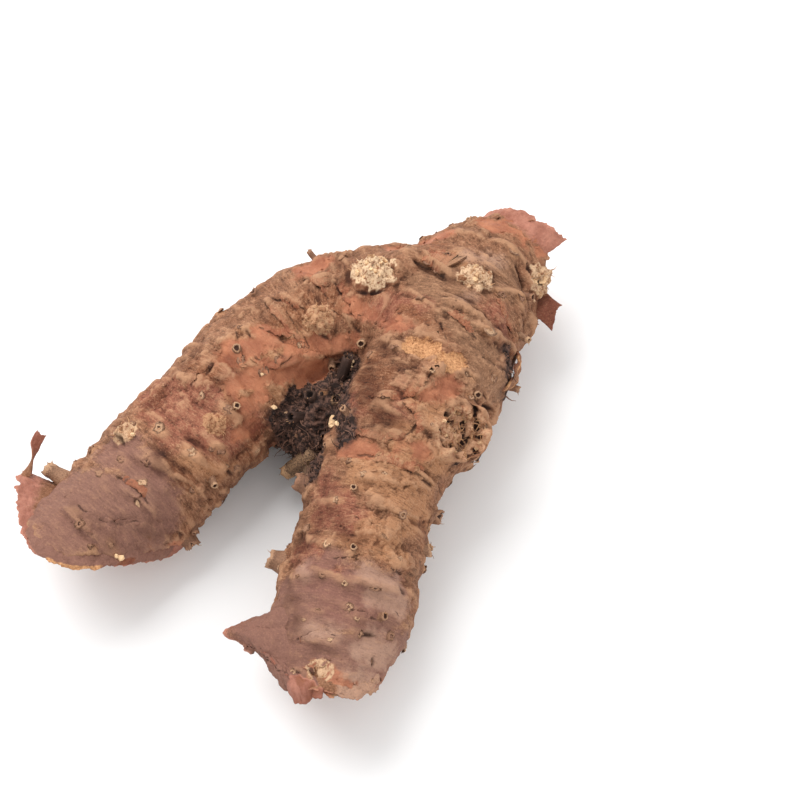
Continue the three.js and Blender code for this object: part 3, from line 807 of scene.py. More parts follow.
# Ridges, or valleys below 0: two spots of the photograph, the half width and the height in mm
FOLDS = (
    (151, 449, 189, 488, 2, -0.5), (179, 478, 204, 498, 1.7, 0.8), (186, 440, 224, 464, 1.8, -0.45),
    (184, 457, 216, 473, 2.6, 0.55), (66, 512, 90, 537, 1.8, 0.8), (126, 494, 150, 511, 2.2, 0.8),
    (164, 493, 186, 521, 2.4, 0.6), (124, 455, 156, 468, 2.2, 0.5), (232, 470, 262, 440, 2.2, -0.5),
    (216, 446, 262, 458, 1.8, 0.6), (228, 362, 252, 400, 2.4, -0.5), (424, 256, 446, 274, 1.8, 1.05),
    (410, 294, 436, 310, 2, 0.9), (446, 290, 470, 300, 2, -0.75), (452, 306, 476, 318, 2, 0.9),
    (500, 244, 524, 264, 2.2, 0.9), (476, 328, 498, 342, 1.8, 0.9), (497, 336, 512, 352, 1.8, 0.9),
    (382, 342, 408, 352, 2, 0.6), (440, 366, 476, 378, 1.8, 0.5), (340, 380, 400, 396, 2, -0.4),
    (344, 392, 392, 412, 2.2, 0.4), (424, 470, 442, 492, 2, -0.9), (370, 480, 420, 488, 2.4, 0.5),
    (380, 508, 414, 520, 2.2, 0.6), (360, 584, 392, 592, 2.4, 0.7), (312, 570, 340, 582, 2.2, 0.5),
    (300, 602, 330, 612, 2.2, -0.4), (362, 656, 392, 664, 2.4, 0.5), (298, 640, 340, 652, 2.4, 0.5),
    (446, 455, 486, 436, 1.2, 1.5), (449, 448, 474, 436, 0.8, -1.1), (473, 406, 475, 428, 0.7, -1.4),
    (448, 417, 456, 426, 1.1, -1.1), (464, 408, 470, 434, 1.9, 1.2), (481, 411, 490, 424, 1.3, 0.9),
    (484, 405, 491, 411, 0.6, -1), (443, 434, 452, 446, 1.2, -0.7), (518, 268, 524, 284, 1.4, -1.35),
    (417, 261, 441, 278, 1.3, -0.9), (480, 290, 520, 297, 1.8, 0.9), (424, 300, 444, 316, 1.4, -0.75),
    (340, 262, 352, 274, 2.6, 0.8), (330, 264, 350, 328, 1.8, 0.5), (470, 464, 492, 440, 3.8, -1.2),
    (492, 440, 470, 464, 3.8, -1.2), (290, 366, 334, 354, 4, 1),
)

ROSETTE: Spot = (321, 413)

RING_SPOTS: tuple[Spot, ...] = (
    (428, 264), (436, 270), (512, 254), (421, 302), (461, 312), (500, 296), (520, 298), (485, 334),
    (506, 343), (370.5, 355), (396, 348), (432, 370.6), (467, 374), (493, 378), (337, 401), (347, 414),
    (285, 414), (328, 445), (276.5, 361), (241, 361), (241, 328), (93, 450), (99.5, 473.5), (121, 460),
    (147, 460), (142, 483), (138.6, 502.6), (193, 489), (80, 525), (90, 548), (134, 425), (201, 396),
    (212, 449), (220, 451), (256, 450), (226, 466), (237, 467), (191, 454), (385, 475), (365, 475),
    (350, 461), (337, 501), (399.5, 513.5), (398, 560), (308, 529), (328, 545), (323.5, 575), (298, 576.5),
    (344, 583), (375, 588), (392.5, 569), (304.5, 620), (281, 627), (359, 634), (391, 636), (373, 661),
    (293.5, 673), (373, 681), (345, 687), (357, 618), (348, 607), (274, 621), (285, 569), (428.6, 517.7),
    (426.5, 528.5), (385, 398), (470, 398), (432, 425), (330, 640), (318, 610), (110, 545), (160, 430),
    (228, 410), (262, 372), (300, 345),
)


class Form:
    """The rhizome's skin: one bpy mesh, its points and normals in mm and its edges, as arrays."""

    def __init__(self, mesh: Mesh) -> None:
        """Reads the mesh's points, edges and normals."""
        self.mesh = mesh
        self.points = read(mesh.vertices, "co", 3) / MM
        self.edges = read(mesh.edges, "vertices", 2, np.int32)
        self.degree = np.bincount(self.edges.ravel(), minlength=len(self.points)).clip(1)
        self.normals = read(mesh.vertices, "normal", 3)

    def averaged(self, values: Array) -> Array:
        """Mean of each point's neighbours along the edges."""
        if values.ndim == 2:
            return np.stack([self.averaged(column) for column in values.T], axis=1)
        a, b = self.edges.T
        n = len(values)
        return (np.bincount(a, values[b], n) + np.bincount(b, values[a], n)) / self.degree

    def relax(self, values: Array, weight: Array | float, rounds: int) -> Array:
        """Values moved towards their neighbours' mean by weight, several rounds."""
        share = weight if np.isscalar(weight) or values.ndim == 1 else weight[:, None]
        for _ in range(rounds):
            values = values + share * (self.averaged(values) - values)
        return values

    def move(self, points: Array) -> None:
        """Sets the points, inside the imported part's box, and works the normals out again."""
        self.points = np.clip(points, *(np.array(CAD_BOX) / MM))
        self.mesh.vertices.foreach_set("co", (self.points * MM).ravel())
        self.mesh.update()
        self.normals = read(self.mesh.vertices, "normal", 3)


def read(items: bpy.types.bpy_prop_collection, key: str, width: int, kind: type = np.float32) -> Array:
    """A collection's property as an array of rows."""
    flat = np.empty(len(items) * width, kind)
    items.foreach_get(key, flat)
    return flat.reshape(-1, width).astype(float if kind is np.float32 else kind)


def largest_part(mesh: Mesh) -> None:
    """Drops all but the largest connected part, found by spreading the lowest number along the edges."""
    edges = read(mesh.edges, "vertices", 2, np.int32)
    label = np.arange(len(mesh.vertices))
    while True:
        low = label.copy()
        np.minimum.at(low, edges[:, 0], label[edges[:, 1]])
        np.minimum.at(low, edges[:, 1], label[edges[:, 0]])
        low = low[low]
        if np.array_equal(low, label):
            break
        label = low
    counts = np.bincount(label)
    doomed = np.flatnonzero(label != counts.argmax())
    if len(doomed):
        work = bmesh.new()
        work.from_mesh(mesh)
        work.verts.ensure_lookup_table()
        bmesh.ops.delete(work, geom=[work.verts[i] for i in doomed], context="VERTS")
        work.to_mesh(mesh)
        work.free()


@dataclass
class Rhizome:
    """The rhizome's one grown body: two limbs, the fork's swellings and the broken shoot."""

    voxel: float = 0.628
    row_step: float = 0.8
    sides: int = 128
    face_shares: tuple[float, ...] = (1.0, 0.9, 0.84, 0.55, 0.25, 0.0)
    face_depths: tuple[float, ...] = (0.0, -0.1, -1.5, -0.9, -1.7, -1.6)
    bodies: tuple[Swelling | Stump, ...] = (SHOULDER, CROTCH, BROKEN_SHOOT)
    noise: Noise = field(default_factory=lambda: Noise(SEED))

    def cut_face(self, rim: Array, angles: Array, out: Array) -> Array:
        """Rings of a cut's face from the rim inwards, sunk inside the bark wall and cracked five ways."""
        share = np.linspace(0.97, 0.03, 26)
        depth = -np.interp(-share, -np.array(self.face_shares), -np.array(self.face_depths))
        crack = 0.45 * np.sin(5 * angles + 6 * (1 - share[:, None])) * (share[:, None] < 0.86)
        middle = rim.mean(axis=0)
        return middle + share[:, None, None] * (rim - middle) + (depth[:, None] + crack)[..., None] * out

    def limb_grid(self, limb: Limb) -> Array:
        """The limb's bark from cut to cut, with both faces."""
        angles = np.linspace(0, 2 * np.pi, self.sides, endpoint=False)
        start = limb.foot_edge(angles) - ragged(angles, 1.0)
        end = limb.head_edge(angles) + ragged(angles, 2.6)
        share = np.linspace(0, 1, int(limb.length / self.row_step))[:, None]
        s, phi = np.broadcast_arrays(lerp(start, end, share), angles)
        skin = limb.skin(s, phi)
        along = limb.frame(np.array([0.0, limb.length]))[3]
        foot = self.cut_face(skin[0], angles, -along[0])
        head = self.cut_face(skin[-1], angles, along[1])
        return np.concatenate([foot[::-1], skin, head])[None]

    def grow(self) -> Form:
        """Joins limbs, swellings and shoot in one skin by voxels."""
        raw = Surface()
        for grid in (self.limb_grid(STEM), self.limb_grid(ARM), *(b.grid() for b in self.bodies)):
            raw.tube(grid)
        work = join(bpy.data.objects.new("work", raw.mesh("work")))
        remesh = work.modifiers.new("voxels", "REMESH")
        remesh.mode = "VOXEL"
        remesh.voxel_size = self.voxel * MM
        graph = bpy.context.evaluated_depsgraph_get()
        mesh = bpy.data.meshes.new_from_object(work.evaluated_get(graph), depsgraph=graph)
        bpy.data.objects.remove(work)
        largest_part(mesh)
        mesh.shade_smooth()
        return Form(mesh)

    def ease(self, form: Form) -> None:
        """Rounds the creases: points near a second body's skin move to their neighbours' mean, except on the
        broken shoot's rim."""
        gaps = [body.gap(form.points) for body in self.bodies]
        for limb in (STEM, ARM):
            s, phi, gap, _ = limb.locate(form.points)
            gaps.append(gap - limb.bark_height(s, phi))
        second = np.sort(np.abs(gaps), axis=0)[1]
        clear = BROKEN_SHOOT.gap(form.points + np.array([0, 0, 3.0])) > -0.5
        form.move(form.relax(form.points, 0.8 * smooth(second, 5, 1) * clear, 14))


def line_gap(points: Array, start: Array, end: Array) -> Pair:
    """Distance of points from the straight line between start and end, and the share along it."""
    line = end - start
    share = np.clip((points - start) @ line / max(float(line @ line), 1e-9), 0, 1)
    return np.linalg.norm(points - start - share[:, None] * line, axis=1), share


class Lookup:
    """Finds places on the rhizome's skin: under a pixel of the photograph, or below a point."""

    def __init__(self, form: Form, camera: PhotoCamera) -> None:
        """Builds the search tree of the form as it stands."""
        mesh = form.mesh
        loops = read(mesh.loops, "vertex_index", 1, np.int32).ravel()
        starts = read(mesh.polygons, "loop_start", 1, np.int32).ravel()
        faces = [part.tolist() for part in np.split(loops, starts[1:])]
        self.corners = loops[starts]
        self.tree = BVHTree.FromPolygons([Vector(p) for p in form.points.tolist()], faces)
        self.camera = camera

    def dress(self, mesh: Mesh, fields: Tones, left_out: tuple[str, ...]) -> None:
        """Gives a mesh near the skin the fields of the skin's nearest points, so that it looks alike."""
        points = read(mesh.vertices, "co", 3) / MM
        nearest = self.corners[[self.tree.find_nearest(Vector(p))[2] for p in points.tolist()]]
        for name, values in fields.items():
            if name not in left_out:
                set_field(mesh, name, values[nearest])

    def _hits(self, starts: Array, ways: Array, reach: float, beyond: float) -> Pair:
        """Where rays meet the skin.

        Args:
            starts: where the rays start, N x 3.
            ways: their unit directions.
            reach: their length in mm.
            beyond: where a ray meets nothing, the skin's nearest place to the point so far along it is taken.
        Returns:
            Points and normals, N x 3 each.
        """
        found = []
        for start, way in zip(map(Vector, starts.tolist()), map(Vector, ways.tolist())):
            point, normal, _, _ = self.tree.ray_cast(start, way, reach)
            if point is None:
                point, normal, _, _ = self.tree.find_nearest(start + way * beyond)
            found.append((*point, *normal))
        rows = np.array(found)
        return rows[:, :3], rows[:, 3:]

    def under(self, spots: tuple[Spot, ...]) -> Pair:
        """Points and normals under pixels, or the nearest to the line of sight where it passes by."""
        ways = np.array([self.camera.ray(spot) for spot in spots])
        eyes = np.tile(self.camera.position(), (len(ways), 1))
        return self._hits(eyes, ways, 2 * self.camera.distance, self.camera.distance)

    def onto(self, points: Array, outs: Array, reach: float = 6.0) -> Pair:
        """Points and normals on the skin straight below points, each seen along its out vector."""
        return self._hits(points + reach * outs, -outs, 3 * reach, reach)


@dataclass
class Skin:
    """The rhizome's skin in both limbs' coordinates, with the fields that its relief and finish share."""

    form: Form
    stem: tuple[Array, Array, Array, Array]
    arm: tuple[Array, Array, Array, Array]
    noise: Noise
    fields: dict[str, Array] = field(default_factory=dict)

    def __post_init__(self) -> None:
        """Mixes the two limbs: 0 on the stem, 1 on the arm."""
        self.mix = smooth(self.stem[2] - self.arm[2], -2.5, 2.5)

    def grained(self, size: Triple) -> Array:
        """Noise stretched along the limbs' own directions, mixed where they meet."""
        on_stem = self.noise.value(self.stem[3], size)
        on_arm = self.noise.value(self.arm[3] + 50.0, size)
        return lerp(on_stem, on_arm, self.mix)

    def facing(self, camera: PhotoCamera) -> Array:
        """How far each point's normal turns to the camera, 1 straight at it."""
        sight = unit(camera.position() - self.form.points)
        return np.einsum("ij,ij->i", sight, self.form.normals)


@dataclass
class Mounds:
    """Rootlet scars: where they stand and the oval mounds of bark under them."""

    points: Array
    normals: Array
    around: Array

    @staticmethod
    def scatter(lookup: Lookup, camera: PhotoCamera, tries: int = 150) -> "Mounds":
        """Places scars at the photograph's spots and, out of its sight, by the golden angle.

        Args:
            lookup: finds places on the skin.
            camera: the photograph's viewpoint.
            tries: how many places the angle gives, of which those in sight or on the table are dropped.
        Returns:
            The mounds.
        """
        points, normals = lookup.under(RING_SPOTS)
        hidden = []
        for k in range(tries):
            limb, first = (STEM, 4.0) if k % 2 == 0 else (ARM, 26.0)
            s = np.array(first + (k + draw(k)) / tries * (limb.length - first - 3))
            phi = k * GOLDEN_ANGLE + 0.7 * draw(k + 77)
            hidden.append(np.concatenate([limb.skin(s, phi), limb.out(s, phi)]))
        rows = np.array(hidden)
        there, outs = lookup.onto(rows[:, :3], rows[:, 3:])
        sight = unit(camera.position() - there)
        unseen = (np.einsum("ij,ij->i", sight, outs) < 0.12) & (there[:, 2] > 1.0)
        points = np.concatenate([points, there[unseen]])
        normals = np.concatenate([normals, outs[unseen]])
        stem, arm = STEM.locate(points), ARM.locate(points)
        limb_along = np.where((stem[2] < arm[2])[:, None], STEM.frame(stem[0])[3], ARM.frame(arm[0])[3])
        return Mounds(points, unit(normals), unit(np.cross(unit(normals), limb_along)))

    def height(self, places: Array) -> Array:
        """Height of all mounds at places: ovals 6 mm long round the limb and 3 mm wide, of several sizes."""
        total = np.zeros(len(places))
        for k, (point, normal, around) in enumerate(zip(self.points, self.normals, self.around)):
            near = np.flatnonzero(np.abs(places - point).max(axis=1) < 8.0)
            if len(near) == 0:
                continue
            reach = places[near] - point
            size = 0.75 + 0.6 * draw(k + 900)
            oval = (reach @ around / (2.9 * size)) ** 2 + (reach @ normal / 3.0) ** 2
            oval += (reach @ np.cross(normal, around) / (1.5 * size)) ** 2
            total[near] = np.maximum(total[near], (0.45 + 0.65 * draw(k + 950)) * np.exp(-oval))
        return total


@dataclass
class Relief:
    """Raises and sinks the rhizome's skin and writes the fields that its finish reads."""

    skin: Skin
    lookup: Lookup
    camera: PhotoCamera
    hidden_patches: int = 34

    def patches(self) -> None:
        """Fields of the tones: 0.5 on a patch's edge, rising inwards by 1/8 a mm, edges bent by noise. Slots
        taper to both ends. The sides that the photograph doesn't show get patches drawn at random."""
        skin = self.skin
        points = skin.form.points
        bend = 2.2 * skin.noise.layered(points + 11, 5.0, 5, 0.62)
        rng = draws(1)
        away = np.flatnonzero(skin.facing(self.camera) < 0.1)
        tones = (Tone.SALMON, Tone.PINK, Tone.TAN, Tone.GREY, Tone.PINK, Tone.TAN, Tone.RED)
        lines = []
        for tone, rows in PATCHES.items():
            for *ends, half in rows:
                lines.append((tone, *self.lookup.under((ends[:2], ends[2:]))[0], half))
        for k in range(self.hidden_patches):
            start = points[rng.choice(away)]
            reach = rng.normal(size=3) * (5.0, 5.0, 2.0)
            lines.append((tones[k % len(tones)], start, start + reach, rng.uniform(2.0, 5.0)))
        skin.fields.update({tone: np.zeros(len(points)) for tone in Tone})
        for tone, start, end, half in lines:
            gap, share = line_gap(points, start, end)
            slot = tone is Tone.SLOT
            gap = gap + bend * min(1.0, half / 4 + 0.1 * slot) + slot * half * (2 * share - 1) ** 2
            inside = np.clip(0.5 + (half - gap) / 8, 0, 1)
            skin.fields[tone] = np.maximum(skin.fields[tone], inside)

    def cracks(self) -> Array:
        """Height of the cracks and of their raised sides. The field crack is the distance across the nearest
        crack in mm, with a sign, and the field near_crack says how close the crack itself is."""
        skin = self.skin
        points = skin.form.points
        wiggle = np.stack([skin.noise.layered(points + 5 * k, 2.4, 2) for k in range(3)], axis=1)
        places = points + 0.5 * wiggle
        nearest = np.full(len(points), 9.0)
        across = np.full(len(points), 3.0)
        height = np.zeros(len(points))
        for step, *spots in CRACKS:
            ends, outs = self.lookup.under(spots)
            for start, end, out in zip(ends[:-1], ends[1:], outs):
                gap = line_gap(places, start, end)[0]
                side = (places - start) @ unit(np.cross(end - start, out))
                across = np.where(gap < nearest, side, across)
                nearest = np.minimum(nearest, gap)
                rise = abs(step) * smooth(gap, 3.6, 0.5) * smooth(side * math.copysign(1, step), -0.3, 0.3)
                height = np.maximum(height, rise)
        skin.fields["crack"] = np.clip(across, -3, 3)
        skin.fields["near_crack"] = smooth(nearest, 1.2, 0.5)
        return height - 0.3 * smooth(nearest, 0.75, 0.1)

    def folds(self) -> Array:
        """Height of the ridges, valleys and slots. Ridges are bells across their lines, one side steep."""
        points = self.skin.form.points
        total = np.zeros(len(points))
        for *ends, half, height in FOLDS:
            (start, end), outs = self.lookup.under((ends[:2], ends[2:]))
            gap = line_gap(points, start, end)[0]
            side = (points - start) @ unit(np.cross(outs[0], end - start))
            total += 1.6 * height * np.exp(-((gap / half) ** 2)) * smooth(side, -0.9, 0.6)
        return total - 0.9 * smooth(self.skin.fields[Tone.SLOT], 0.44, 0.56)

    def bark(self, mounds: Mounds) -> Array:
        """Height of the bark all over: oval swellings and fine wrinkles round the limbs, soft bumps, mounds
        and the torn edges of layers, which run along two levels of a cloudy field."""
        skin = self.skin
        points, noise = skin.form.points, skin.noise
        ovals = 0.8 * np.maximum(0, skin.grained((2.5, 6.5, 6.5)) + 0.1) ** 1.2
        wrinkles = 0.15 * skin.grained((0.95, 3.6, 3.6)) * smooth(noise.value(points, 11), -0.4, 0.3)
        bumps = 0.55 * noise.layered(points, 8.0, 2) + 0.12 * noise.layered(points + 9, 2.2, 3, 0.55)
        bumps -= 0.2 * np.exp(-((noise.layered(points + 31, 8.0, 2) / 0.06) ** 2))
        layer = noise.layered(points + 70, 8.0, 4, 0.55)
        torn = smooth(noise.value(points + 40, 13), -0.2, 0.2)
        layers = 0.5 * torn * (smooth(layer, 0.0, 0.06) + smooth(layer, 0.4, 0.46) - 0.6)
        mound = mounds.height(points)
        skin.fields.update(layer=layer, torn=torn, mound=mound)
        return ovals + wrinkles + bumps + layers + mound

    def bare(self) -> Array:
        """Height of the patches where outer bark is gone: a step down, with a lip round it."""
        total = np.zeros(len(self.skin.form.points))
        for tone, depth in ((Tone.SALMON, 0.15), (Tone.OCHRE, 0.8), (Tone.RED, 0.2)):
            inside = 8 * (self.skin.fields[tone] - 0.5)
            total += 0.12 * np.exp(-(((inside + 0.5) / 0.5) ** 2)) - depth * smooth(inside, -0.25, 0.6)
        return total

    def ends(self) -> None:
        """Fields of the cut faces (flesh), the crater of the broken shoot and the soil in the fork."""
        skin = self.skin
        points = skin.form.points
        flesh = np.zeros(len(points))
        for limb, (s, phi, gap, _), both in ((STEM, skin.stem, True), (ARM, skin.arm, False)):
            sunk = limb.bark_height(s, phi) - gap
            near = smooth(s, limb.head_edge(phi) - 7, limb.head_edge(phi) - 5)
            if both:
                near = np.maximum(near, smooth(s, limb.foot_edge(phi) + 7, limb.foot_edge(phi) + 5))
            own = skin.mix < 0.5 if limb is STEM else skin.mix > 0.5
            flesh = np.maximum(flesh, near * own * smooth(sunk, 0.7, 1.4))
        skin.fields["flesh"] = flesh
        past, away = BROKEN_SHOOT.measure(points)
        skin.fields["crater"] = smooth(away, 7.0, 6.0) * smooth(past, -6, -4.5)
        gap = CROTCH.gap(points) + 1.6 * skin.noise.layered(points + 3, 5.0, 3)
        clear = 1 - smooth(np.maximum(skin.fields["warm"], skin.fields["salmon"]), 0.4, 0.6)
        soil = smooth(gap, 3.0, 0.4) * smooth(points[:, 2], -1, 3) * clear
        skin.fields["soil"] = np.maximum(soil, smooth(skin.fields[Tone.EARTH], 0.5, 0.62))

    def scars(self) -> Array:
        """Height of the shoots' scars: a lumpy heap, dish or knob inside a rim. The field scar says where
        broken tissue shows in them, and scar_pale how pale it is."""
        skin = self.skin
        points, noise = skin.form.points, skin.noise
        scarred, total = np.zeros((2, len(points)))
        pale = 0.4 + 0.35 * skin.fields["crater"]
        for k, scar in enumerate(SCARS):
            middle, out = scar.middle(), scar.out()
            reach = points - middle
            flat = np.linalg.norm(reach - (reach @ out)[:, None] * out, axis=1) / scar.radius
            ragged_by = 0.1 if scar.kind is ScarKind.CRATER else 0.3
            flat = flat + ragged_by * noise.layered(points + 20 * k, 3.0, 3, 0.7)
            near = smooth(np.abs(reach @ out), 6.0, 4.0)
            if scar.kind is ScarKind.STUB:
                total += near * 0.6 * smooth(flat, 1.9, 0.9)
                continue
            rim = np.exp(-(((flat - 0.92) / 0.22) ** 2))
            heap = {ScarKind.KNOB: 0.3, ScarKind.CRUMBLY: 1.1, ScarKind.CRATER: -0.2}[scar.kind]
            lumps = 1 + 0.6 * noise.layered(points - 20 * k, 1.9, 2)
            lumps += 0.5 * noise.value(points, (0.9, 2.6, 2.6))
            total += near * (0.5 * rim + heap * smooth(flat, 0.85, 0.5)) * lumps * scar.height
            inside = near * smooth(flat, 1.2, 0.95) * (scar.kind is not ScarKind.KNOB)
            if scar.kind is ScarKind.CRATER:
                inside *= 1 - 0.9 * np.exp(-(((flat - 0.72) / 0.1) ** 2))
            pale = np.where(inside > scarred, scar.pale, pale)
            scarred = np.maximum(scarred, inside)
        skin.fields.update(scar=scarred, scar_pale=pale)
        return total

    def rough(self) -> Array:
        """Height of broken tissue: crumbs and pits on faces, in the crater, in scars and in the soil, with
        the scales of one dead shoot, which stand in rings."""
        skin = self.skin
        points, noise, fields = skin.form.points, skin.noise, skin.fields
        total = self.scars()
        first, _, own = noise.cells(points + 0.5 * noise.value(points, 1.2)[:, None], 1.7)
        crumbs = (0.5 - first) * 0.5 + 0.5 * (own - 0.5) + 0.5 - 1.3 * np.abs(noise.layered(points, 2.2, 2))
        pits = smooth(noise.layered(points * (1, 1, 0.3) + 60, 2.6, 2), 0.1, 0.5)
        total += fields["scar"] * (0.4 + 0.5 * fields["scar_pale"]) * crumbs
        total += fields["crater"] * (1.3 * crumbs - 1.2 * pits)
        total += fields["flesh"] * (0.3 * noise.layered(points, 1.6, 2))
        away = np.linalg.norm(points - self.lookup.under((ROSETTE,))[0], axis=1)
        away += 0.5 * noise.layered(points, 2.4, 2)
        fields["rosette"] = smooth(away, 4.8, 3.8)
        scales = 0.5 * np.sin(2 * np.pi * away / 1.25) - 1.6 * smooth(away, 2.0, 0.4)
        clods = 1.1 * noise.layered(points, 3.4, 4, 0.65) + 0.4 * crumbs + 0.3
        return total + fields["soil"] * (clods + fields["rosette"] * scales)

    def apply(self, mounds: Mounds) -> None:
        """Moves the skin by the sum of all heights and writes the fields, with the hollows that result."""
        skin = self.skin
        form = skin.form
        self.patches()
        self.ends()
        rough = self.rough()
        broken = [skin.fields[k] for k in ("flesh", "crater", "soil")]
        quiet = np.maximum.reduce([*broken, 0.8 * skin.fields["scar"]])
        plates = np.maximum.reduce([skin.fields[t] for t in (Tone.SALMON, Tone.GREY, Tone.MAUVE)])
        calm = 1 - 0.5 * smooth(plates, 0.45, 0.65)
        height = self.bare() + self.cracks() + calm * self.bark(mounds)
        height = height * (1 - quiet) + self.folds() + rough
        form.move(form.points + form.normals * (height - height.mean())[:, None])
        # Depth below the smoothed neighbours: the finish paints shade into hollows and highlight onto ridges
        for name, rounds in (("hollow", 10), ("wide_hollow", 80)):
            eased = form.relax(form.points, 0.5, rounds)
            skin.fields[name] = np.einsum("ij,ij->i", eased - form.points, form.normals)
        skin.fields["limb_mix"] = skin.mix
        skin.fields["grain_stem"] = skin.stem[3]
        skin.fields["grain_arm"] = skin.arm[3]
        for name, values in skin.fields.items():
            set_field(form.mesh, name, values)


def grains(rng: Draws, middles: Array, sizes: Array) -> Array:
    """Lumpy grains: balls of 4 rows and 6 columns with random radii, stretched and turned at random.

    Args:
        rng: the seeded draw.
        middles: their middles, N x 3.
        sizes: their radii in mm.
    Returns:
        Grids, N x 4 x 6 x 3.
    """
    down = np.linspace(0.35, np.pi - 0.35, 4)[:, None]
    turn = np.arange(6) * np.pi / 3 + 0.5 * (np.arange(4) % 2)[:, None]
    x, y, z = np.sin(down) * np.cos(turn), np.sin(down) * np.sin(turn), np.cos(down) + 0 * turn
    ball = np.stack([x, y, z], axis=-1)
    count = len(middles)
    axes = np.linalg.qr(rng.normal(size=(count, 3, 3)))[0]
    axes[:, :, 2] *= np.sign(np.linalg.det(axes))[:, None]
    stretch = rng.uniform(0.6, 1.35, (count, 1, 1, 3))
    lumps = ball[None] * stretch * rng.uniform(0.72, 1.2, (count, 4, 6, 1)) * sizes[:, None, None, None]
    return np.einsum("nrcj,nij->nrci", lumps, axes) + middles[:, None, None]


def strands(rng: Draws, starts: Array, ways: Array, lengths: Array, widths: Array, curl: float) -> Array:
    """Fibres: three-sided tapering tubes of 5 rows that bend off their way.

    Args:
        rng: the seeded draw.
        starts: where they are rooted, N x 3.
        ways: unit directions, N x 3.
        lengths: in mm.
        widths: at the root, in mm.
        curl: how far the tip wanders, as a share of the length.
    Returns:
        Grids, N x 5 x 3 x 3.
    """
    share = np.linspace(0, 1, 5)[None, :, None]
    across, other = basis(ways)
    bend = unit(across * rng.normal(size=(len(starts), 1)) + other * rng.normal(size=(len(starts), 1)))
    wave = unit(np.cross(ways, bend))
    reach = lengths[:, None, None]
    line = starts[:, None] + ways[:, None] * share * reach + bend[:, None] * curl * share**2 * reach
    phase = 6 * rng.random((len(starts), 1, 1))
    line = line + wave[:, None] * 0.12 * curl * reach * np.sin(5 * share + phase)
    far = widths[:, None, None, None] / 2 * (1 - 0.75 * share[..., None])
    return line[:, :, None] + ring(ways, np.arange(3) * 2 * np.pi / 3)[:, None] * far


def collars(
    points: Array, outs: Array, radii: Array, heights: Array, rng: Draws
) -> Pair:
    """Rootlet scars: a small volcano each, its profile turned round the out vector and squashed unevenly.

    Args:
        points: their middles on the skin.
        outs: unit vectors out of the skin.
        radii: of the rim, in mm.
        heights: of the rim over the skin, in mm.
        rng: the seeded draw.
    Returns:
        Grids, N x 7 x 11 x 3, and the band of each row, 0 at the foot, 1 on the rim and 2 in the hole.
    """
    far = np.array([1.9, 1.5, 1.15, 0.88, 0.62, 0.5, 0.3])
    high = np.array([-0.9, 0.1, 0.7, 1.0, 0.6, -0.2, -0.7])
    band = np.array([0.0, 0.3, 0.9, 1.0, 1.25, 1.8, 2.0])
    turn = np.arange(11) * 2 * np.pi / 11
    across, other = basis(outs)
    count = len(points)
    plug = (rng.random(count) < 0.3)[:, None] & (far < 0.6)
    high, band = np.where(plug, 0.5, high), np.where(plug, 1.05, band)
    oval = across[:, None] * np.cos(turn)[:, None] * rng.uniform(0.55, 1.1, (count, 1, 1))
    oval = oval + other[:, None] * np.sin(turn)[:, None] * rng.uniform(0.7, 1.1, (count, 1, 1))
    uneven = rng.uniform(0.7, 1.34, (count, 1, 11, 1)) * rng.uniform(0.82, 1.2, (count, 7, 11, 1))
    broken = rng.uniform(-0.5, 1.4, (count, 1, 11, 1))
    lean = unit(outs + 0.25 * rng.normal(size=outs.shape))
    size = far[:, None, None] * radii[:, None, None, None] * uneven
    grid = points[:, None, None] + oval[:, None] * size
    grid = grid + lean[:, None, None] * (high[..., None, None] * heights[:, None, None, None] * broken)
    return grid, np.broadcast_to(band[..., None], grid.shape[:-1])


def stubs(roots: Array, tips: Array, radii: Array, sides: int, rng: Draws) -> Pair:
    """Broken rootlets: tubes that flare at the root, bend a little and end in a torn, dished tip.

    Args:
        roots: sunk ends, N x 3.
        tips: torn ends, N x 3.
        radii: in mm.
        sides: columns of each.
        rng: the seeded draw.
    Returns:
        Grids, N x 9 x sides x 3, and the band of each row, up to 1 on the rim and 2 in the dish.
    """
    mark = np.array([0, 0.3, 0.52, 0.72, 0.9, 1.0, 0.97, 0.86, 0.8])
    far = np.array([1.45, 1.2, 1.02, 0.98, 0.96, 0.9, 0.66, 0.45, 0.15])
    band = np.array([0, 0.1, 0.2, 0.4, 0.8, 1.0, 1.2, 1.7, 2.0])
    count = len(roots)
    line = tips - roots
    axis = unit(line)
    round_ = ring(axis, np.arange(sides) * 2 * np.pi / sides)[:, None]
    uneven = rng.uniform(0.84, 1.14, (count, 1, sides, 1)) * rng.uniform(0.93, 1.07, (count, 9, sides, 1))
    torn = rng.normal(size=(count, 1, sides, 1)) * 0.16 * (mark[:, None, None] > 0.8)
    aside = (basis(axis)[0] * rng.normal(size=(count, 1)))[:, None, None]
    bend = aside * 0.14 * (mark**2)[:, None, None]
    size = radii[:, None, None, None]
    grid = roots[:, None, None] + line[:, None, None] * mark[:, None, None] + bend * size
    grid = grid + round_ * far[:, None, None] * size * uneven + axis[:, None, None] * torn * size
    return grid, np.broadcast_to(band[None, :, None], grid.shape[:-1])


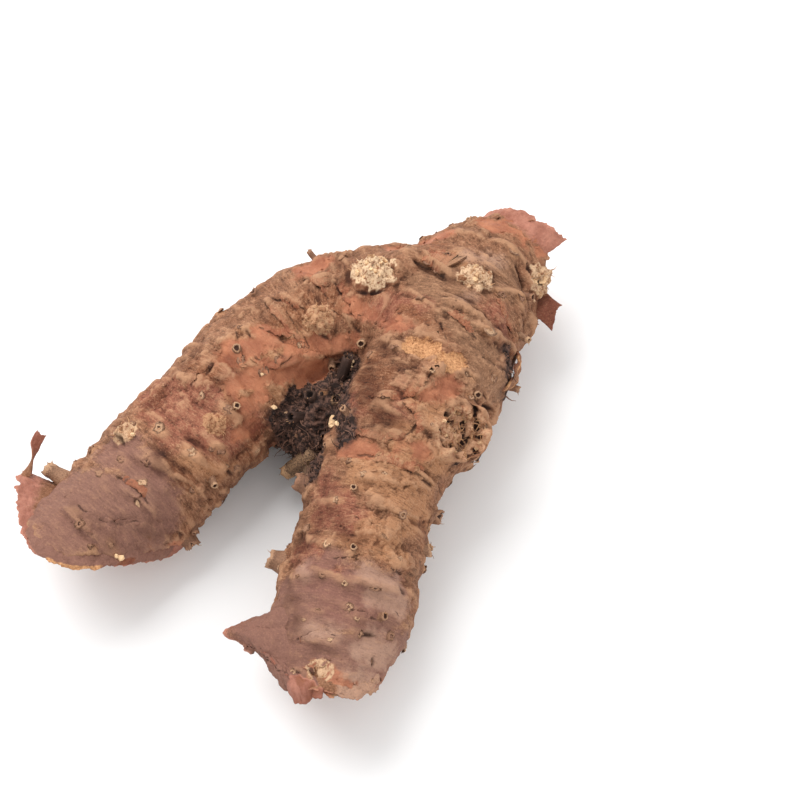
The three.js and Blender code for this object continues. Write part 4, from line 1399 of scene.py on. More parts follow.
@dataclass
class LooseBark:
    """Dry sheets of bark that curl off at the cuts, each rooted in a limb at v = 0 and free at v = 1."""

    noise: Noise
    ribbon_reach: Triple = (1.5, 12, 4.0)
    above: float = 0.15
    emerge: float = 0.8

    def rise(self, v: Array) -> Array:
        """Height over the bark: sunk at the root, out of it by v = emerge."""
        return lerp(-SUNK, self.above, np.minimum(1, v / self.emerge))

    def crown_sheet(self, u: Array, v: Array) -> Array:
        """The skin over the crown's far side, which runs on past the cut to a corner at the right."""
        phi = np.radians(lerp(8, 131, u))
        s = STEM.head_edge(phi) + lerp(-9, 0.8 + 6.5 * u**4, v)
        return STEM.skin(s, phi, self.rise(v))

    def crown_chip(self, u: Array, v: Array) -> Array:
        """A flat chip that sticks out to the right below the crown."""
        s = lerp(119.5, 126.5 - 2.5 * v, u)
        return STEM.at(s, np.radians(178 - 14 * u * v), lerp(-3, 7.5, v))

    def flank_sliver(self, u: Array, v: Array) -> Array:
        """A sliver split off the crown's right flank, rooted at both ends."""
        s = lerp(80, 93, u) + v
        leaf = np.sin(np.pi * u) ** 0.7
        lift = lerp(-SUNK, 1.2, np.minimum(1, 1.4 * leaf)) + 0.4 * v + 0.3 * np.sin(23 * u)
        return STEM.at(s, np.radians(lerp(170, 172 + 15 * leaf, v)), lift)

    def arm_collar(self, u: Array, v: Array) -> Array:
        """The sheet that stands off the far corner of the arm's end."""
        phi = np.radians(lerp(96, 174, u))
        s = ARM.head_edge(phi) + lerp(-6, 2.5 - 3 * u, v)
        return ARM.at(s, phi, lerp(-SUNK, 12 * u * u - 0.5, v**1.2))

    def arm_ribbon(self, u: Array, v: Array) -> Array:
        """A ribbon that rises from the collar's far corner and twists by 150 degrees."""
        foot = self.arm_collar(np.array(0.93), np.array(0.86))
        turn = np.radians(150 * v + 20)
        half = lerp(1.9, 1.4, v) * (2 * u - 1)
        point = foot + np.array(self.ribbon_reach) * v[..., None]
        point[..., 0] += half * np.cos(turn) + 1.2 * np.sin(np.pi * v) + 3.5 * v**5
        point[..., 2] += half * np.sin(turn)
        return point

    def arm_hem(self, u: Array, v: Array) -> Array:
        """The rolled bark edge along the near side and the top of the arm's end."""
        phi = np.radians(lerp(-42, 118, u))
        s = ARM.head_edge(phi) + lerp(-6, 1.8 + 1.6 * np.sin(np.pi * u) + 0.9 * np.sin(11 * u), v)
        lift = self.rise(v) + 0.5 * v * v * np.cos(2 * phi)
        return ARM.skin(s, phi, lift)

    def foot_flap(self, u: Array, v: Array) -> Array:
        """The pointed flap that flares to the left of the stem's foot."""
        phi = np.radians(lerp(lerp(92, 58, smooth(u, 0.2, 0.45)), 4, v))
        point = np.minimum(1, np.minimum(u / 0.56, (1 - u) / 0.34)) ** 0.8
        sink = (SUNK + 0.5) * smooth(u - 0.5 * v, 0.08, 0.2)
        lift = lerp(0.5 - sink, 0.5, np.minimum(1, 2 * v)) + (13 * point - 2) * v * v
        lift = lift - 3.4 * smooth(u, 0.16, 0) * np.exp(-(((v - 0.26) / 0.2) ** 2))
        tip = 1.8 * np.exp(-(((v - 0.26) / 0.13) ** 2))
        tip += 0.35 * np.sin(41 * v) + 0.2 * np.sin(97 * v)
        end = lerp(-11.8, -4, smooth(v, 0.3, 0.9)) - tip
        return STEM.skin(lerp(end, 8, u), phi, lift)

    def foot_lip(self, u: Array, v: Array) -> Array:
        """The ragged bark lip along the top of the stem's foot."""
        phi = np.radians(lerp(38, 150, u))
        s = STEM.foot_edge(phi) + lerp(6, -0.15 - 1.1 * np.sin(11.5 * u - 0.7), v)
        return STEM.skin(s, phi, self.rise(v))

    @staticmethod
    def towards_edge(**tones: float) -> Callable[[Array, Array], Tones]:
        """Tones that grow from the root to the free edge."""
        return lambda u, v: {name: most * smooth(v, 0.0, 0.8) for name, most in tones.items()}

    @staticmethod
    def sliver_tones(u: Array, v: Array) -> Tones:
        """Tones of the flank's sliver: patchy ochre, turning tan to the free edge."""
        return {"ochre": 0.42 + 0.12 * np.sin(11 * u + 7 * v), "tan": 0.5 * v}

    @staticmethod
    def hem_tones(u: Array, v: Array) -> Tones:
        """Tones of the arm's hem: salmon on the near side, then dark red, then a torn ochre edge."""
        torn = smooth(u, 0.46, 0.54) * smooth(u, 0.84, 0.76) * smooth(v, 0.6, 0.9)
        red = np.exp(-(((u - 0.42) / 0.05) ** 2)) * smooth(v, 0.5, 0.8)
        salmon = 0.8 * smooth(u, 0.26, 0.14)
        return {"salmon": salmon, "ochre": 0.56 * torn, "red": 0.8 * red, "mauve": 0.8 + 0 * u}

    @staticmethod
    def flap_tones(u: Array, v: Array) -> Tones:
        """Tones of the foot's flap: mauve with a pink tip and a salmon chip that turns red at its end."""
        chip = smooth(u - 0.5 * v + 0.03 * np.sin(23 * v), 0.16, 0.1) * smooth(v + 0.4 * u, 0.47, 0.41)
        red = 0.56 * chip * smooth(v - 0.6 * u, 0.24, 0.14)
        salmon = 0.9 * chip + smooth(v, 0.84, 1.1)
        return {"salmon": salmon, "red": red, "mauve": 0.9 - 0.5 * v**3, "pink": 0.5 * v}

    @staticmethod
    def lip_tones(u: Array, v: Array) -> Tones:
        """Tones of the foot's lip: a red chip on the left and a pale pinkish edge on the right, which is
        partly painted highlight.
        """
        red = 0.42 * smooth(u, 0.3, 0.2) * v
        return {"salmon": 0.9 * smooth(u, 0.36, 0.24), "red": red, "ash": 0.8 * smooth(u, 0.5, 0.66)}

    def build(self, finish: Material) -> None:
        """Makes each sheet a piece, thinning to a ragged free edge, with wrinkles of its own.

        Args:
            finish: the material of inner bark.
        """
        tinted = self.towards_edge
        makers = (
            (self.crown_sheet, (190, 50), 1, 0.6, tinted(salmon=0.8)),
            # The chip darkens towards its free edge with painted shade, besides turning red
            (self.crown_chip, (40, 50), 1, 0.5, tinted(red=0.8, dark=0.7)),
            (self.flank_sliver, (70, 40), -1, 0.7, self.sliver_tones),
            (self.arm_collar, (120, 60), 1, 0.5, tinted(salmon=0.7, mauve=0.6)),
            (self.arm_ribbon, (26, 60), 1, 0.45, tinted(salmon=0.75)),
            (self.arm_hem, (200, 50), 1, 0.7, self.hem_tones),
            (self.foot_flap, (100, 70), 1, 0.6, self.flap_tones),
            (self.foot_lip, (130, 40), -1, 0.6, self.lip_tones),
        )
        for make, (across, along), way, thick, tones in makers:
            u, v = np.meshgrid(np.linspace(0, 1, across)[::way], np.linspace(0, 1, along), indexing="ij")
            flat = make(u, v)
            count = flat.shape[:-1]
            rim = flat[:, -1:].repeat(along, 1).reshape(-1, 3)
            edge = self.noise.layered(rim, 3.0, 4).reshape(count)
            v = v * (1 - 0.1 * (0.5 + edge))
            grid = make(u, v)
            normal = unit(np.cross(np.gradient(grid, axis=0), np.gradient(grid, axis=1)))
            places = grid.reshape(-1, 3)
            fine = self.noise.layered(places + 9, 1.8, 3, 0.6)
            wave = 0.35 * self.noise.layered(places, 5.0, 3) + 0.2 * fine
            grid = grid + normal * (wave.reshape(count) * smooth(v, 0.1, 0.5))[..., None]
            body = Surface()
            fields = {name: value[None] for name, value in tones(u, v).items()}
            # The sheet's fine wrinkles as a hollow field: painted shade in their dips, painted highlight on
            # crests
            fields["hollow"] = -0.2 * fine.reshape(count)[None]
            body.sheet(grid[None], (thick * lerp(1.0, 0.3, v**3))[None], edge=v[None], **fields)
            body.piece(make.__name__, finish, "inner_bark")


@dataclass
class Rootlets:
    """Scars and stubs that rootlets have left all over the root."""

    mounds: Mounds
    lookup: Lookup
    stub_count: int = 38
    stub_radius: float = 1.1

    def rings(self, finish: Material) -> None:
        """Makes the collars of the scars on their mounds."""
        rng = draws(2)
        points, _ = self.lookup.onto(self.mounds.points, self.mounds.normals)
        count = len(points)
        radii, heights = rng.uniform(0.4, 0.85, count), rng.uniform(0.14, 0.5, count)
        grid, band = collars(points, self.mounds.normals, radii, heights, rng)
        body = Surface()
        body.tube(grid, band=band, own=rng.random((count, 1, 1)))
        body.piece("rootlet_rings", finish, "bark")

    def placed(self) -> Array:
        """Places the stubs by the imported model's own rule, and the tall dead stubs.

        Returns:
            Rows of root, tip and radius, 7 numbers each.
        """
        rows = []
        for k in range(self.stub_count):
            limb = STEM if k % 5 < 3 else ARM
            share = (k + 0.5) / self.stub_count * 0.94 + 0.03
            s = share * limb.length + 3 * (draw(k) - 0.5)
            phi = k * GOLDEN_ANGLE + 0.5 * (draw(k + 200) - 0.5)
            flank = abs(math.cos(phi)) > 0.8
            tall = 1.6 + 1.6 * draw(k + 400) if flank else 0.8 + 0.6 * draw(k + 400)
            radius = self.stub_radius * (0.8 + 0.3 * draw(k + 500))
            rows.append((limb, s, phi, tall, radius, draw(k + 600) - 0.5))
        for scar in SCARS:
            if scar.kind is ScarKind.STUB:
                rows.append((scar.limb, scar.s, math.radians(scar.angle), scar.height, scar.radius, 0.1))
        ends = []
        for limb, s, phi, tall, radius, lean in rows:
            height = limb.bark_height(np.array(s), phi)
            root = limb.at(np.array(s - lean * SUNK), phi, height - SUNK)
            tip = limb.at(np.array(s + lean * tall), phi, height + tall)
            ends.append((*root, *tip, radius))
        return np.array(ends)

    def stand(self, finish: Material) -> tuple[Array, Array, Array]:
        """Makes the stubs and gives their tips, unit directions and radii."""
        rng = draws(3)
        table = self.placed()
        roots, tips, radii = table[:, :3], table[:, 3:6], table[:, 6]
        body = Surface()
        small = np.arange(len(roots)) < self.stub_count
        for which, sides in ((small, 9), (~small, 18)):
            grid, band = stubs(roots[which], tips[which], radii[which], sides, rng)
            body.tube(grid, band=band, own=rng.random((which.sum(), 1, 1)))
        body.piece("root_stubs", finish, "bark")
        return tips, unit(tips - roots), radii


@dataclass
class Crotch:
    """The nest in the fork: dead shoot bases, black crumbling soil and rotten strands."""

    skin: Skin
    lookup: Lookup
    bases: tuple[tuple[float, float, float, float], ...] = (  # each tip and its radius
        (-27.5, -11, 25.5, 1.35), (-16, -6.5, 27.5, 1.3), (-13.5, -10, 27.0, 1.2), (-13, 4, 31, 1.3),
        (-19, -15, 22, 1.4), (-21.5, -21, 14, 1.7), (-23.9, -24.5, 13.5, 1.9), (-20.5, -26.5, 11, 1.3),
        (-23, -5, 27.5, 1.4),
    )
    long_root: Spot = (317, 452)
    long_tip: Triple = (-29.5, -18.0, 9.0)
    long_radius: float = 1.8
    soil_grains: int = 900
    strand_count: int = 400

    def shoots(self, finish: Material) -> tuple[Array, Array, Array]:
        """Makes the dead shoot bases, the last a long one that lies over the soil, and gives their tips, unit
        directions and radii."""
        rng = draws(4)
        table = np.array((*self.bases, (*self.long_tip, self.long_radius)))
        tips, radii = table[:, :3] + MIDDLE, table[:, 3]
        roots = lerp(np.array(CROTCH.middle) + MIDDLE, tips, 0.35)
        roots[-1] = self.lookup.under((self.long_root,))[0][0]
        grid, band = stubs(roots, tips, radii * 1.1, 20, rng)
        own = rng.random((len(tips), 1, 1))
        own[-1] = 1.0
        body = Surface()
        body.tube(grid, band=band, own=own)
        body.piece("crotch_shoots", finish, "bark")
        return tips, unit(tips - roots), radii

    def soil(self, finish: Material) -> None:
        """Makes the black grains and strands that cover the fork's skin where its soil field is high."""
        rng = draws(5)
        form = self.skin.form
        share = self.skin.fields["soil"] ** 2 * (1 - 0.92 * self.skin.fields["rosette"])
        chosen = pick(rng, share, self.soil_grains)
        sizes = 0.12 + 0.4 * rng.random(self.soil_grains) ** 2
        middles = form.points[chosen] + form.normals[chosen] * (0.3 * sizes)[:, None]
        body = Surface()
        body.tube(grains(rng, middles, sizes), own=rng.random((self.soil_grains, 1, 1)) ** 2)
        chosen = pick(rng, share, self.strand_count)
        ways = unit(form.normals[chosen] + rng.normal(size=(self.strand_count, 3)) * 0.9)
        lengths = rng.uniform(0.8, 3.4, self.strand_count)
        widths = rng.uniform(0.2, 0.6, self.strand_count)
        grid = strands(rng, form.points[chosen], ways, lengths, widths, 1.1)
        body.tube(grid, own=rng.random((self.strand_count, 1, 1)))
        body.piece("crotch_soil", finish, "bark")


@dataclass
class BrokenTissue:
    """Pale crumbs heaped in the scars and torn fibres at scars, stubs, cuts and the broken shoot."""

    skin: Skin
    lookup: Lookup
    pale_bits: tuple[Triple, ...] = (  # each a spot of the photograph and a radius in mm
        (335, 420, 1.2), (333, 424, 1.0), (338, 423, 0.9), (119, 557, 1.1), (123, 560, 1.0), (127, 561, 0.8),
        (116, 555, 0.6), (353, 360, 0.8), (351, 369, 0.7), (273, 407, 0.9), (131, 436, 0.8), (262, 374, 0.5),
    )
    crater_crumbs: int = 45
    tip_fibres: int = 5

    def heap(self, rng: Draws, scar: Scar) -> Pair:
        """Middles and sizes of the crumbs in one scar: a round scatter on its skin, domed in the middle."""
        count = int(0.55 * scar.radius**2)
        far = scar.radius * 0.98 * np.sqrt(rng.random(count))
        flat = scar.middle() + far[:, None] * ring(scar.out(), rng.uniform(0, 2 * np.pi, count))
        points, normals = self.lookup.onto(flat, np.tile(scar.out(), (count, 1)))
        dome = 0.4 * (1 - (far / scar.radius) ** 2) * rng.random(count)
        sizes = rng.uniform(0.4, 1.15, count)
        return points + normals * (dome - 0.2 * sizes)[:, None], sizes

    def crumbs(self, finish: Material) -> None:
        """Makes the heaps and the single pale bits."""
        rng = draws(6)
        body = Surface()
        for scar in SCARS:
            if scar.kind is ScarKind.CRUMBLY:
                middles, sizes = self.heap(rng, scar)
                body.tube(grains(rng, middles, sizes), own=scar.pale * rng.random((len(sizes), 1, 1)))
        share = self.skin.fields["crater"] ** 4
        chosen = pick(rng, share, self.crater_crumbs)
        sizes = rng.uniform(0.25, 0.8, self.crater_crumbs)
        heap = grains(rng, self.skin.form.points[chosen], sizes)
        body.tube(heap, own=0.6 * rng.random((len(sizes), 1, 1)))
        bits = np.array(self.pale_bits)
        points, normals = self.lookup.under(tuple((x, y) for x, y, _ in self.pale_bits))
        body.tube(grains(rng, points + 0.5 * normals, bits[:, 2]), own=1.0)
        mesh = body.mesh("scar_crumbs")
        mesh.shade_flat()
        add_piece("scar_crumbs", mesh, finish)

    def fibres(self, finish: Material, tips: tuple[tuple[Array, Array, Array], ...]) -> None:
        """Makes the torn fibres.

        Args:
            finish: the material of pale flesh.
            tips: for each lot of stubs, their tips, unit directions and radii.
        """
        rng = draws(7)
        body = Surface()
        for ends, ways, radii in tips:
            turn = rng.uniform(0, 2 * np.pi, (len(ends), self.tip_fibres))
            edge = ring(ways, turn) * radii[:, None, None] * 0.8
            starts = (ends[:, None] - 0.25 * ways[:, None] + edge).reshape(-1, 3)
            aim = unit(ways[:, None] + 0.5 * unit(edge) + 0.3 * rng.normal(size=edge.shape)).reshape(-1, 3)
            reach = rng.uniform(0.3, 0.8, len(starts)) * radii.repeat(self.tip_fibres).clip(0.8, 2.0)
            grid = strands(rng, starts, aim, reach, rng.uniform(0.2, 0.4, len(starts)), 0.4)
            body.tube(grid, own=rng.random((len(starts), 1, 1)))
        points, normals = self.skin.form.points, self.skin.form.normals
        for name, count, longest in (("crater", 110, 2.4), ("scar", 260, 1.8), ("flesh", 260, 1.3)):
            share = self.skin.fields[name] ** 2 * (points[:, 2] > 1.0)
            chosen = pick(rng, share, count)
            ways = unit(normals[chosen] + 0.55 * rng.normal(size=(count, 3)))
            lengths = rng.uniform(0.4, 1.0, count) * longest
            starts = points[chosen] - 0.2 * normals[chosen]
            grid = strands(rng, starts, ways, lengths, rng.uniform(0.2, 0.6, count), 0.5)
            body.tube(grid, own=rng.random((count, 1, 1)))
        body.piece("torn_fibres", finish, "flesh")


@dataclass
class BarkLips:
    """Edges of bark plates that stand off the skin along the cracks, in the skin's own colours."""

    skin: Skin
    lookup: Lookup
    deep: float = 3.2
    over: float = 0.3
    lift: float = 0.3

    def build(self, finish: Material) -> None:
        """Makes a sheet along each crack: sunk on the raised side at v = 0, free over the crack at v = 1."""
        body = Surface()
        for step, *spots in CRACKS:
            ends, outs = self.lookup.under(spots)
            mark = np.concatenate([[0.0], np.cumsum(np.linalg.norm(np.diff(ends, axis=0), axis=1))])
            place = np.linspace(0, mark[-1], int(mark[-1] / 0.3) + 3)
            rows = np.concatenate([ends, outs], axis=1)
            line, out = np.split(np.stack([np.interp(place, mark, x) for x in rows.T], axis=1), 2, axis=1)
            side = unit(np.cross(np.gradient(line, axis=0), out)) * math.copysign(1, step)
            u, v = np.meshgrid(place / mark[-1], np.linspace(0, 1, 10), indexing="ij")
            bend = self.skin.noise.layered(line + 5, 2.6, 4, 0.7)[:, None]
            far = lerp(self.deep, -self.over + 0.6 * bend, v)
            near = np.maximum(far, 0.5)
            flat = line[:, None] + side[:, None] * near[..., None]
            rows, normals = self.lookup.onto(flat.reshape(-1, 3), unit(out).repeat(10, axis=0))
            ending = np.minimum(1, 5 * np.minimum(u, 1 - u))
            tall = lerp(-0.4, (self.lift + 0.2 * bend) * ending - 0.3 * (1 - ending), v**1.4)
            grid = (rows + normals * tall.reshape(-1, 1)).reshape(*u.shape, 3)
            grid = grid + side[:, None] * (far - near)[..., None]
            body.sheet(grid[None], lerp(0.34, 0.16, v)[None], edge=0.93 * v[None])
        mesh = body.mesh("bark_lips")
        self.lookup.dress(mesh, self.skin.fields, ("crack", "near_crack", "hollow"))
        add_piece("bark_lips", mesh, finish)


@dataclass
class BarkFlakes:
    """Small curled flakes of bark at the edges of plates, patches and cracks."""

    skin: Skin
    lookup: Lookup
    count: int = 520

    def build(self, finish: Material) -> None:
        """Makes the flakes: 6 by 5 grids, leaf-shaped, rooted at v = 0 and curling up to v = 1."""
        rng = draws(8)
        skin = self.skin
        points, normals = skin.form.points, skin.form.normals
        bare = [skin.fields[tone] for tone in (Tone.SALMON, Tone.OCHRE, Tone.RED)]
        edges = [np.exp(-((6 * (inside - 0.5)) ** 2)) for inside in bare]
        torn = skin.fields["torn"] * smooth(np.abs(skin.fields["layer"] - 0.04), 0.06, 0.0)
        share = np.maximum.reduce(edges) + 0.5 * skin.fields["near_crack"] + 0.3 * torn + 0.01
        share = share * (points[:, 2] > 0.6) * (skin.fields["flesh"] < 0.1)
        chosen = pick(rng, share, self.count)
        out = normals[chosen]
        along, aside = basis(out)
        turn = rng.uniform(0, 2 * np.pi, (self.count, 1))
        c, s = np.cos(turn), np.sin(turn)
        along, aside = along * c + aside * s, aside * c - along * s
        u, v = np.meshgrid(np.linspace(-1, 1, 6), np.linspace(0, 1, 5), indexing="ij")
        size = rng.uniform(0.5, 1.0, (self.count, 1, 1)) ** 2
        wide = size * rng.uniform(0.6, 1.7, (self.count, 1, 1))
        deep = size * rng.uniform(0.6, 1.8, (self.count, 1, 1))
        width = wide * (1 - 0.6 * v**2) * rng.uniform(0.8, 1.15, (self.count, 6, 5))
        lift = -0.12 + (0.25 + rng.uniform(0.0, 0.9, (self.count, 1, 1)) * deep * 0.5) * v**1.6
        lift = lift - 0.12 * (u * width) ** 2
        parts = (along, u * width), (aside, v * deep), (out, lift)
        grid = points[chosen][:, None, None] + sum(a[:, None, None] * b[..., None] for a, b in parts)
        body = Surface()
        body.sheet(grid, 0.16, edge=0.93 * v[None])
        mesh = body.mesh("bark_flakes")
        self.lookup.dress(mesh, skin.fields, ("crack", "near_crack", "hollow"))
        add_piece("bark_flakes", mesh, finish)


def colour(red: int, green: int, blue: int) -> Colour:
    """A colour given by display values from 0 to 255, as linear light."""
    shares = [value / 255 for value in (red, green, blue)]
    linear = [x / 12.92 if x <= 0.04045 else ((x + 0.055) / 1.055) ** 2.4 for x in shares]
    return (*linear, 1.0)


class Shader:
    """A material with short calls for its nodes. Sizes are millimetres."""

    def __init__(self, name: str, specular: float = 0.3, roughness: float = 0.85) -> None:
        """Starts from a principled surface with its specular level and roughness."""
        self.material = bpy.data.materials.new(name)
        self.material.use_nodes = True
        self.tree = self.material.node_tree
        self.surface = self.tree.nodes["Principled BSDF"]
        self.surface.inputs["Specular IOR Level"].default_value = specular
        self.surface.inputs["Roughness"].default_value = roughness
        place = self.node("ShaderNodeTexCoord").outputs["Object"]
        scaled = self.node("ShaderNodeVectorMath", {0: place, "Scale": 1 / MM}, operation="SCALE")
        self.place = scaled.outputs[0]

    def node(self, kind: str, inputs: dict | None = None, **settings: object) -> bpy.types.Node:
        """Adds a node, with its settings, and sets or links its inputs."""
        node = self.tree.nodes.new(kind)
        for key, value in settings.items():
            setattr(node, key, value)
        for key, value in (inputs or {}).items():
            if isinstance(value, Socket):
                self.tree.links.new(value, node.inputs[key])
            else:
                node.inputs[key].default_value = value
        return node

    def math(self, operation: str, a: Socket | float, b: Socket | float = 0.0) -> Socket:
        """One reckoning with two numbers."""
        return self.node("ShaderNodeMath", {0: a, 1: b}, operation=operation).outputs[0]

    def plus(self, a: Socket | float, b: Socket | float) -> Socket:
        """Sum of a and b."""
        return self.math("ADD", a, b)

    def times(self, a: Socket | float, b: Socket | float) -> Socket:
        """Product of a and b."""
        return self.math("MULTIPLY", a, b)

    def step(self, value: Socket, low: float, high: float, most: float = 1.0) -> Socket:
        """Eased step from 0 at low to most at high."""
        names = ("Value", "From Min", "From Max", "To Max")
        inputs = dict(zip(names, (value, low, high, most)))
        return self.node("ShaderNodeMapRange", inputs, interpolation_type="SMOOTHSTEP").outputs[0]

    def mix(self, share: Socket | float, a: Socket | Colour, b: Socket | Colour, way: str = "MIX") -> Socket:
        """Colour a turned into b by share."""
        inputs = {0: share, 6: a, 7: b}
        return self.node("ShaderNodeMix", inputs, data_type="RGBA", blend_type=way).outputs[2]

    def noise(self, size: float, detail: float = 4, rough: float = 0.55, at: Socket | None = None) -> Socket:
        """Cloudy noise from 0 to 1 with features of a size."""
        inputs = {"Vector": at or self.place, "Scale": 1 / size, "Detail": detail, "Roughness": rough}
        return self.node("ShaderNodeTexNoise", inputs).outputs["Fac"]

    def field(self, name: str) -> Socket:
        """A number stored on the mesh."""
        return self.node("ShaderNodeAttribute", attribute_name=name).outputs["Fac"]

    def shaken(self, name: str, noise: Socket, reach: float) -> Socket:
        """A number stored on the mesh, made uneven by noise, by half of reach to either side."""
        return self.plus(self.field(name), self.times(self.plus(noise, -0.5), reach))

    def stretched(self, name: str, size: Triple) -> Socket:
        """A vector stored on the mesh, in units of a size for each axis."""
        vector = self.node("ShaderNodeAttribute", attribute_name=name).outputs["Vector"]
        inverse = tuple(1 / x for x in size)
        return self.node("ShaderNodeVectorMath", {0: vector, 1: inverse}, operation="MULTIPLY").outputs[0]

    def finish(self, tint: Socket, rough: Socket, height: Socket) -> Material:
        """Wires colour, roughness and a bump whose height is in mm, and gives the material."""
        bump = self.node("ShaderNodeBump", {"Height": height, "Strength": 1.0, "Distance": MM})
        self.tree.links.new(tint, self.surface.inputs["Base Color"])
        self.tree.links.new(rough, self.surface.inputs["Roughness"])
        self.tree.links.new(bump.outputs[0], self.surface.inputs["Normal"])
        return self.material


@dataclass(frozen=True)
class BarkFinish:
    """Dry bark: taupe and brown with fine streaks round the limbs, pink, salmon or tan where the outer skin
    is gone, with the cracks, flesh, soil and scars that the rhizome's fields mark, with painted shade in its
    hollows, slots and dark patches and painted highlight on its ridges."""

    name: str = "dry_bark"
    brown: Colour = colour(120, 79, 55)
    taupe: Colour = colour(148, 102, 75)
    # Pale streaks and grit, and the painted highlight on ridges
    dust_and_highlight: Colour = colour(190, 144, 110)
    grey: Colour = colour(138, 101, 75)
    rust: Colour = colour(136, 82, 56)
    pink: Colour = colour(146, 86, 67)
    salmon: Colour = colour(184, 117, 84)
    salmon_dark: Colour = colour(155, 92, 65)
    tan: Colour = colour(176, 125, 88)
    ochre: Colour = colour(214, 160, 114)
    ochre_dark: Colour = colour(150, 100, 64)
    red: Colour = colour(112, 56, 40)
    pale: Colour = colour(224, 192, 156)
    warm: Colour = colour(130, 80, 52)
    # Pale greyish pink, partly painted highlight
    ash: Colour = colour(190, 152, 130)
    mauve: Colour = colour(132, 94, 83)
    # Dark streaks, cracks, and the painted shade in slots and in the crater's and cut faces' hollows
    dark: Colour = colour(46, 26, 19)
    soil: Colour = colour(44, 30, 25)
    dust: Colour = colour(122, 88, 74)
    # Painted shade, multiplied over the dark patches and the hollows
    shade: Colour = (0.4, 0.32, 0.28, 1)
    torn: Colour = colour(196, 132, 110)

    def build(self) -> Material:
        """Makes the material: each layer of colour goes over the last."""
        s = Shader(self.name, 0.3)
        mottle = s.noise(2.4, 6, 0.62)
        grit = s.noise(0.42, 5, 0.72)
        streaks = [self.streaks(s, size) for size in ((0.5, 2.0, 2.0), (1.3, 4.5, 4.5))]
        gap = s.math("ABSOLUTE", s.shaken("crack", grit, 0.5))
        crack = s.times(s.step(gap, 0.3, 0.05), s.field("near_crack"))
        bare = s.step(s.shaken("salmon", mottle, 0.5), 0.35, 0.65)
        smooth_bark = s.math("MAXIMUM", s.times(bare, 0.72), s.step(s.field("mauve"), 0.4, 0.8, 0.6))
        coarse = s.math("SUBTRACT", 1.0, smooth_bark)
        tint = self.patched(s, mottle, bare)
        edge = s.plus(s.field("edge"), s.times(grit, 0.08))
        tint = s.mix(s.step(edge, 0.96, 1.0, 0.6), tint, self.torn)
        for streak, high, low in ((streaks[0], 0.5, 0.5), (streaks[1], 0.28, 0.3), (grit, 0.7, 0.6)):
            tint = s.mix(s.times(s.step(streak, 0.53, 0.68, high), coarse), tint, self.dust_and_highlight)
            tint = s.mix(s.times(s.step(streak, 0.47, 0.32, low), coarse), tint, self.dark)
        tint = s.mix(s.times(crack, 0.6), tint, self.dark)
        # Painted shade: the dark patches multiply the colour by the shade colour
        tint = s.mix(s.step(s.shaken("dark", mottle, 0.4), 0.35, 1.15, 0.95), tint, self.shade, "MULTIPLY")
        # Painted shade in the hollows, multiplied by the shade colour, and painted highlight on the ridges
        for name, low, high, most in (("hollow", 0.05, 0.34, 0.8), ("wide_hollow", 0.1, 0.9, 0.55)):
            depth = s.field(name)
            tint = s.mix(s.times(s.step(depth, -low, -high, 0.4), coarse), tint, self.dust_and_highlight)
            tint = s.mix(s.times(s.step(depth, low, high, most), coarse), tint, self.shade, "MULTIPLY")
        tint = self.broken(s, mottle, grit, tint)
        rough = s.math("SUBTRACT", 0.86, s.times(bare, 0.26))
        height = s.times(mottle, 0.3)
        for bump, depth in ((grit, 0.28), (streaks[0], 0.2), (streaks[1], 0.3), (crack, -0.3)):
            height = s.plus(height, s.times(bump, depth))
        return s.finish(tint, rough, height)

    def patched(self, s: Shader, mottle: Socket, bare: Socket) -> Socket:
        """Brown and taupe bark with a patch of each tone where its field is high.

        Args:
            s: the shader.
            mottle: noise of blotches, which also makes the patches' edges uneven.
            bare: share of bark whose outer skin is gone.
        Returns:
            The colour.
        """
        tint = s.mix(s.step(mottle, 0.34, 0.66), self.brown, self.taupe)
        tint = s.mix(s.step(s.noise(10, 4), 0.5, 0.7, 0.5), tint, self.rust)
        tint = s.mix(s.step(s.noise(7, 4), 0.55, 0.7, 0.5), tint, self.grey)
        shades = (
            ("grey", self.grey, 0.7), ("pink", self.pink, 0.8), ("tan", self.tan, 0.75),
            ("mound", self.tan, 0.5), ("warm", self.warm, 0.85), ("mauve", self.mauve, 0.8),
            ("ash", self.ash, 0.6),
        )
        for tone, shade, most in shades:
            tint = s.mix(s.step(s.shaken(tone, mottle, 0.6), 0.25, 0.7, most), tint, shade)
        flush = s.mix(s.step(s.noise(4, 5), 0.35, 0.65), self.salmon_dark, self.salmon)
        tint = s.mix(s.times(bare, 0.9), tint, flush)
        reddish = s.mix(s.step(mottle, 0.3, 0.7), self.red, self.rust)
        tint = s.mix(s.step(s.shaken("red", mottle, 0.5), 0.4, 0.62, 0.85), tint, reddish)
        return s.mix(s.step(s.field("under"), 0.4, 0.6, 0.8), tint, self.salmon_dark)

